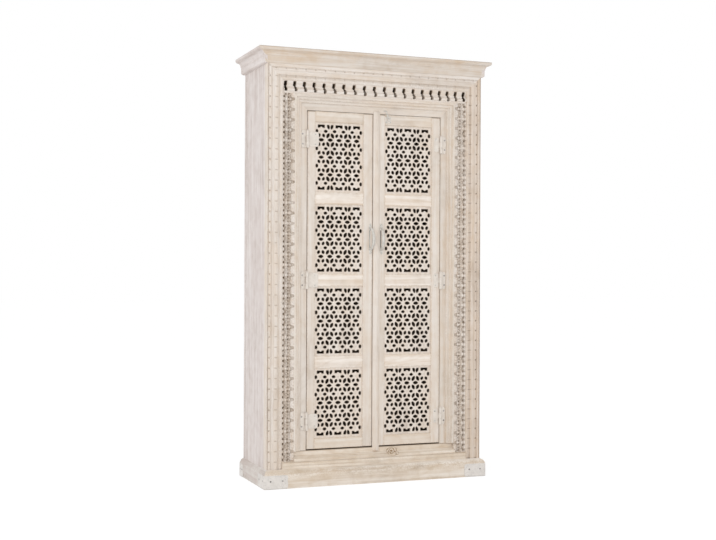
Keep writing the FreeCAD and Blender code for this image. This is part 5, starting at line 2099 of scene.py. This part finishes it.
@dataclass
class Handle:
    """A bow pull: a bar along an arc between two leaf-shaped feet, over a thin straight strip on the wood."""

    side: Side
    foot_length: float = 0.034
    foot_width: float = 0.014
    foot_rise: float = 0.0026
    foot_teeth: float = 3.5
    foot_tooth: float = 0.07
    foot_wobble: float = 0.03
    foot_distance: float = 0.105
    foot_points: int = 36
    bow_radius: float = 0.0045
    bow_taper: float = 0.34
    bow_wobble: float = 0.05
    bow_spread: float = 1.6
    bow_lean: float = 0.0035
    bow_sides: int = 16
    bow_stations: int = 41
    bow_sink: float = 0.001
    collars: tuple[Triple, ...] = ((0.86, 0.30, 0.035), (0.76, 0.22, 0.02))
    strip_width: float = 0.0052
    strip_thickness: float = 0.0012
    strip_length: float = 0.078
    strip_shift: float = 0.0035
    strip_edging: Edging = Edging(0.0004, 0.001, 0.0002, 0.05, 0.01)
    bow_shades: dict[Side, float] = field(default_factory=lambda: {Side.LEFT: 0.40, Side.RIGHT: 0.30})
    strip_shades: dict[Side, float] = field(default_factory=lambda: {Side.LEFT: 0.35, Side.RIGHT: 1.0})

    def foot(self, x: float, z: float, y: float, up: int) -> Skin:
        """Return a leaf-shaped foot: pointed outlines that shrink onto a raised middle rib.

        Args:
            x: The leaf's middle.
            z: Its height.
            y: The wood's face.
            up: 1 where the leaf's longer tip points up, -1 where it points down.

        Returns:
            The closed skin.
        """
        angle = np.arange(self.foot_points) * math.tau / self.foot_points
        along = np.cos(angle)
        across = np.sign(np.sin(angle)) * np.abs(np.sin(angle)) ** 1.35
        tooth = 1 - self.foot_tooth * np.abs(np.sin(self.foot_teeth * math.pi * along))
        tooth = tooth - self.foot_wobble * ripple(along, across, seed=160 + up, length=2)
        scale, level, rub = np.array([
            (1.0, 0.0, 0.5), (1.0, 0.35, 0.9), (0.93, 0.6, 0.6), (0.7, 0.78, 0.1), (0.4, 0.93, 0.4),
            (0.12, 1.0, 0.9),
        ]).T[:, :, None]
        return loft(rings_of(
            x + self.foot_width / 2 * (across * tooth) * scale, y - self.foot_rise * level,
            z + up * self.foot_length / 2 * along * (1 - 0.35 * (1 - scale)),
        ), rub)

    def bow(self, x: float, z: float, y: float, bulge: float, lean: float) -> Skin:
        """Return the bow: a tapered bar with two collars at each end, spread along X in its middle.

        Args:
            x: The middle of the feet.
            z: The bow's middle height.
            y: The wood's face.
            bulge: The distance of its middle line from the wood.
            lean: How far its middle stands aside from the feet.

        Returns:
            The closed skin.
        """
        half = self.foot_distance / 2
        radius = (half ** 2 + bulge ** 2) / (2 * bulge)
        limit = math.asin(half / radius) if bulge <= half else math.pi - math.asin(half / radius)
        angle = np.linspace(-limit, limit, self.bow_stations)
        height = z + radius * np.sin(angle)
        out = bulge - radius + radius * np.cos(angle)
        path = np.stack([x + lean * (out / bulge), y - self.bow_sink - out, height], -1)
        way = np.abs(angle) / limit
        thick = self.bow_radius * (1 - self.bow_taper * way ** 2)
        thick = thick * (1 + sum(rise * near(way - place, width) for place, rise, width in self.collars))
        thick = thick * (1 + self.bow_wobble * ripple(height, seed=151 + self.side.value, length=0.03))
        facing = np.clip(np.cos(np.arange(self.bow_sides) * math.tau / self.bow_sides), 0, 1)
        marks = {"rubbed": near(way - self.collars[0][0], 0.06)[:, None],
                 "sunk": self.bow_shades[self.side] * facing}
        bow = tube(path, thick, (1, 0, 0), self.bow_sides, **marks)
        centre = np.repeat(path[:, 0], self.bow_sides)
        spread = np.repeat(1 + (self.bow_spread - 1) * (1 - way ** 2), self.bow_sides)
        bow.points[:, 0] = centre + (bow.points[:, 0] - centre) * spread
        return bow

    def build(self) -> None:
        """Dress the pull. Its bow leans to the right on the left leaf, and to the left on the right leaf."""
        node = self.side.word + "_handle"
        block = Block.of(node)
        face_y = block.high[1]
        middle_z = block.middle[2]
        lean = -self.side.value * self.bow_lean
        leaf_edge = block.low[0] if lean > 0 else block.high[0]
        x = leaf_edge + math.copysign(self.foot_width / 2, lean)
        bow = self.bow(x, middle_z, face_y, face_y - block.low[1] - self.bow_radius, lean)
        feet = [self.foot(x, middle_z + up * self.foot_distance / 2, face_y, up) for up in (-1, 1)]
        reach = np.array([self.strip_width / 2, self.strip_thickness / 2, self.strip_length / 2])
        middle = np.array([x - self.strip_shift, face_y - self.strip_thickness / 2, middle_z])
        strip = board(Block(middle - reach, middle + reach), Axis.Z, 165, self.strip_edging)
        strip.sunk = np.full(len(strip.points), self.strip_shades[self.side])
        dress(node, Skin.joined([bow, *feet, strip]), WORN_IRON, Axis.Z, seed=1)


@dataclass
class Latch:
    """The catch at the head of the right leaf: a plate with a pivot, a turning hook and a staple."""

    plate_thickness: float = 0.002
    plate_wobble: float = 0.06
    pivot_radius: float = 0.004
    pivot: tuple = (
        (0, 1, 0.5), (0.70, 0.95, 0.5), (0.705, 0.5, 0.5), (0.86, 0.5, 0.5), (0.865, 1, 0.5),
        (0.97, 0.95, 0.5), (1, 0.4, 0.5),
    )
    eye: tuple = ((0, 0.93, 0.4), (0.15, 1, 0.4), (0.85, 1, 0.4), (1, 0.93, 0.4))
    arm: tuple = (
        (0, 0.0040, 0), (0.05, 0.0042, 0), (0.2, 0.0038, 0), (0.5, 0.0033, 0), (0.8, 0.0026, 0),
        (0.95, 0.0024, 0), (1, 0.0012, 0),
    )
    tip_inset: float = 0.002
    tip_drop: float = 0.0015
    bend_stations: int = 13

    def hook(self, x: float, z: float) -> Skin:
        """Return the hook: a round eye on the pivot, and an arm flattened to the eye's thickness."""
        block = Block.of("latch_hook")
        thick = block.size[1]
        middle_y = block.middle[1]
        start = np.array([x, middle_y, z])
        tip = np.array([block.low[0] + self.tip_inset, middle_y, block.high[2] - self.tip_drop])
        arm = rod(start, tip - start, 1.0, self.arm, 12)
        widest = max(row[1] for row in self.arm)
        arm.points[:, 1] = middle_y + (arm.points[:, 1] - middle_y) * thick / 2 / widest
        back = np.array([x, block.high[1], z])
        return Skin.joined([rod(back, np.array([0, -thick, 0]), block.high[0] - x, self.eye, 20), arm])

    def staple(self) -> Skin:
        """Return the staple: a round wire along a flattened half circle."""
        block = Block.of("latch_staple")
        wire = block.size[2] / 2
        leg = block.size[0] / 2 - wire
        reach = block.size[1] - wire
        turn = np.linspace(0, math.pi, self.bend_stations)
        height = np.full(self.bend_stations, block.middle[2])
        path = np.stack([
            block.middle[0] - leg * np.cos(turn), block.high[1] - np.sin(turn) ** 0.6 * reach, height,
        ], -1)
        return tube(path, np.full(self.bend_stations, wire), (0, 0, 1), 12, rubbed=0.3)

    def build(self) -> None:
        """Dress the plate with its pivot, the hook and the staple."""
        whole = Block.of("right_latch_plate")
        flat = whole.limited(y=(whole.high[1] - self.plate_thickness, whole.high[1]))
        x, _, z = flat.middle
        reach = flat.low[1] - whole.low[1]
        foot = np.array([x, flat.low[1], z])
        pivot = rod(foot, np.array([0, -reach, 0]), self.pivot_radius, self.pivot, 16)
        skin = Skin.joined([plate(flat, 171, self.plate_wobble), pivot])
        dress("right_latch_plate", skin, WASHED_IRON, Axis.Z)
        dress("latch_hook", self.hook(x, z), WORN_IRON, Axis.Z, seed=2)
        dress("latch_staple", self.staple(), WORN_IRON, Axis.Z, seed=3)


@dataclass
class CornerPlates:
    """The bent plates round the plinth's corners: an L-shaped section carried up each.

    The arms shorten along a quarter circle at the foot and top, and wander a little, so that the corners are
    round and the cut edges uneven.
    """

    thickness: float = 0.0015
    corner_round: float = 0.010
    bend_radius: float = 0.0025
    wander: float = 0.004
    wave_length: float = 0.06
    edge_stations: tuple[float, ...] = (0.0, 0.0004, 0.0012, 0.003, 0.006)
    middle_stations: int = 9
    edge_strip: float = 0.003
    section_rub: tuple[float, ...] = (1, 0, 0.5, 1, 0.5, 0, 1, 1, 0, 0, 0, 1)
    foot_shadow: float = 0.9
    foot_shadow_height: float = 0.002

    def section(self, a: Array, b: Array) -> Array:
        """Return how far in from the corner the section's points are, along both arms, at each height."""
        r = self.bend_radius
        t = self.thickness
        bend = r * (1 - math.cos(math.pi / 4))
        points = [
            (a, 0), (a / 2, 0), (r, 0), (bend, bend), (0, r), (0, b / 2), (0, b), (t, b), (t, b / 2), (t, t),
            (a / 2, t), (a, t),
        ]
        return np.array([np.stack(np.broadcast_arrays(*arm), 1) for arm in zip(*points)])

    def one(self, block: Block, i: int) -> Skin:
        """Return the plate at one corner, with a painted shadow along its foot where it meets the floor."""
        side = 1 if block.middle[0] > 0 else -1
        end = 1 if block.middle[1] > 0 else -1
        corner_x = block.high[0] if side > 0 else block.low[0]
        corner_y = block.high[1] if end > 0 else block.low[1]
        across, along, height = block.size
        ends = np.array(self.edge_stations)
        middle = np.linspace(self.corner_round, height - self.corner_round, self.middle_stations)
        z = np.concatenate([ends, middle, height - ends[::-1]])
        edge = np.minimum(z, height - z)
        share = np.clip(1 - edge / self.corner_round, 0, 1)
        lost = self.corner_round * (1 - np.sqrt(1 - np.square(share)))
        a = across - lost - uneven(self.wander, z, seed=180 + i, length=self.wave_length)
        b = along - lost - uneven(self.wander, z, seed=190 + i, length=self.wave_length)
        x, y = self.section(a, b)
        rings = rings_of(corner_x - side * x, corner_y - end * y, (block.low[2] + z)[:, None])
        rub = np.maximum(near(edge, self.edge_strip)[:, None], self.section_rub)
        # The plate's foot is painted dark: a painted contact shadow.
        return loft(rings, rub, self.foot_shadow * (z < self.foot_shadow_height)[:, None])

    def build(self) -> None:
        """Dress the plates at all four corners."""
        skins = [self.one(block, i) for i, block in enumerate(solid_blocks("corner_plates"))]
        dress("corner_plates", Skin.joined(skins), IRON, Axis.Z, seed=4)


@dataclass(frozen=True)
class Viewpoint:
    """The camera, from the photograph's perspective: a level view from the cabinet's left front."""

    picture_width: float = 716.0
    focal_pixels: float = 1181.69
    sensor: float = 36.0
    yaw: float = math.radians(21.211)
    pitch: float = math.radians(0.0848)
    roll: float = math.radians(0.2401)
    place: Triple = (-1.9832, -5.04175, 0.93418)

    def build(self) -> None:
        """Make the camera and give it to the scene."""
        forward = np.array([
            math.sin(self.yaw) * math.cos(self.pitch), math.cos(self.yaw) * math.cos(self.pitch),
            math.sin(self.pitch),
        ])
        level = np.array([math.cos(self.yaw), -math.sin(self.yaw), 0.0])
        upright = np.cross(level, forward)
        right = math.cos(self.roll) * level + math.sin(self.roll) * upright
        up = -math.sin(self.roll) * level + math.cos(self.roll) * upright
        data = bpy.data.cameras.new("camera")
        data.sensor_width = self.sensor
        data.lens = self.focal_pixels / self.picture_width * self.sensor
        camera = bpy.data.objects.new("camera", data)
        matrix = np.eye(4)
        matrix[:3, :3] = np.stack([right, up, -forward], 1)
        matrix[:3, 3] = self.place
        camera.matrix_world = Matrix(matrix)
        bpy.context.scene.collection.objects.link(camera)
        bpy.context.scene.camera = camera


@dataclass(frozen=True)
class Lamp:
    """A soft square lamp that looks at the cabinet's middle."""

    name: str
    place: Triple
    size: float
    power: float


@dataclass(frozen=True)
class Studio:
    """A pale floor, a white surround and soft lamps."""

    surround_level: float = 0.72
    floor_half_size: float = 30.0
    floor_shade_share: float = 0.35
    floor_level: float = 1.18
    lamps: tuple[Lamp, ...] = (
        Lamp("key_lamp", (-2.4, -5.0, 2.1), 3.0, 75.0),
        Lamp("fill_lamp", (3.2, -4.4, 1.8), 3.0, 25.0),
        Lamp("side_lamp", (-4.5, -0.6, 1.7), 3.0, 32.0),
    )

    def lights(self) -> None:
        """Hang the lamps, each turned to the middle of the cabinet."""
        low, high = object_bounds()
        target = (low + high) / 2
        for lamp in self.lamps:
            data = bpy.data.lights.new(lamp.name, "AREA")
            data.size = lamp.size
            data.energy = lamp.power
            light = bpy.data.objects.new(lamp.name, data)
            light.location = lamp.place
            light.rotation_mode = "QUATERNION"
            light.rotation_quaternion = (target - light.location).to_track_quat("-Z", "Y")
            bpy.context.scene.collection.objects.link(light)

    def surround(self) -> None:
        """Light the world evenly, and show it white to the camera, in gloss and through glass."""
        world = bpy.data.worlds.new("surround")
        world.use_nodes = True
        bpy.context.scene.world = world
        graph = Graph(world.node_tree)
        seen = self.seen(graph)
        level = graph.math("ADD", self.surround_level, graph.math("MULTIPLY", seen, 1 - self.surround_level))
        graph.feed(world.node_tree.nodes["Background"], {"Strength": level, "Color": WHITE})

    def seen(self, graph: Graph) -> Socket:
        """Return 1 for rays from the camera, in gloss and through glass."""
        path = graph.add("ShaderNodeLightPath").outputs
        either = graph.math("MAXIMUM", path["Is Camera Ray"], path["Is Glossy Ray"])
        return graph.math("MAXIMUM", either, path["Is Transmission Ray"])

    def floor(self) -> None:
        """Lay the floor: matt, nearly white to the camera, with the cabinet's soft shadow kept in it."""
        half = self.floor_half_size
        mesh = bpy.data.meshes.new("studio_floor")
        corners = [(-half, -half, 0), (half, -half, 0), (half, half, 0), (-half, half, 0)]
        mesh.from_pydata(corners, [], [(0, 1, 2, 3)])
        floor = bpy.data.objects.new("studio_floor", mesh)
        bpy.context.scene.collection.objects.link(floor)
        material = bpy.data.materials.new("studio_floor")
        material.use_nodes = True
        graph = Graph(material.node_tree)
        graph.tree.nodes.remove(graph.tree.nodes["Principled BSDF"])
        matt = graph.add("ShaderNodeBsdfDiffuse", {"Color": (0.93, 0.93, 0.93, 1)}).outputs[0]
        white = graph.add("ShaderNodeEmission", {"Color": WHITE, "Strength": self.floor_level}).outputs[0]
        share = graph.math("MULTIPLY", self.seen(graph), 1 - self.floor_shade_share)
        mixed = graph.add("ShaderNodeMixShader", {0: share, 1: matt, 2: white}).outputs[0]
        graph.feed(graph.tree.nodes["Material Output"], {"Surface": mixed})
        mesh.materials.append(material)
        floor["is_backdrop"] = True

    def build(self) -> None:
        """Make the surround, the floor and the lamps."""
        bpy.context.scene.view_settings.view_transform = "Standard"
        self.surround()
        self.floor()
        self.lights()


def main() -> None:
    """Build the view, the studio and every piece in order."""
    logging.basicConfig(level=logging.INFO, format="%(message)s")
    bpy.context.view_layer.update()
    Viewpoint().build()
    Studio().build()
    assemblies = [
        Carcass(), Crown(), FrontMouldings(), BracketRow(), PetalBand(), SteppedCourses(), Base(),
        DoorLeaf(Side.LEFT), DoorLeaf(Side.RIGHT), Hinges(), Handle(Side.LEFT), Handle(Side.RIGHT), Latch(),
        CornerPlates(), Nails(),
    ]
    for assembly in assemblies:
        assembly.build()


if __name__ == "__main__":
    main()
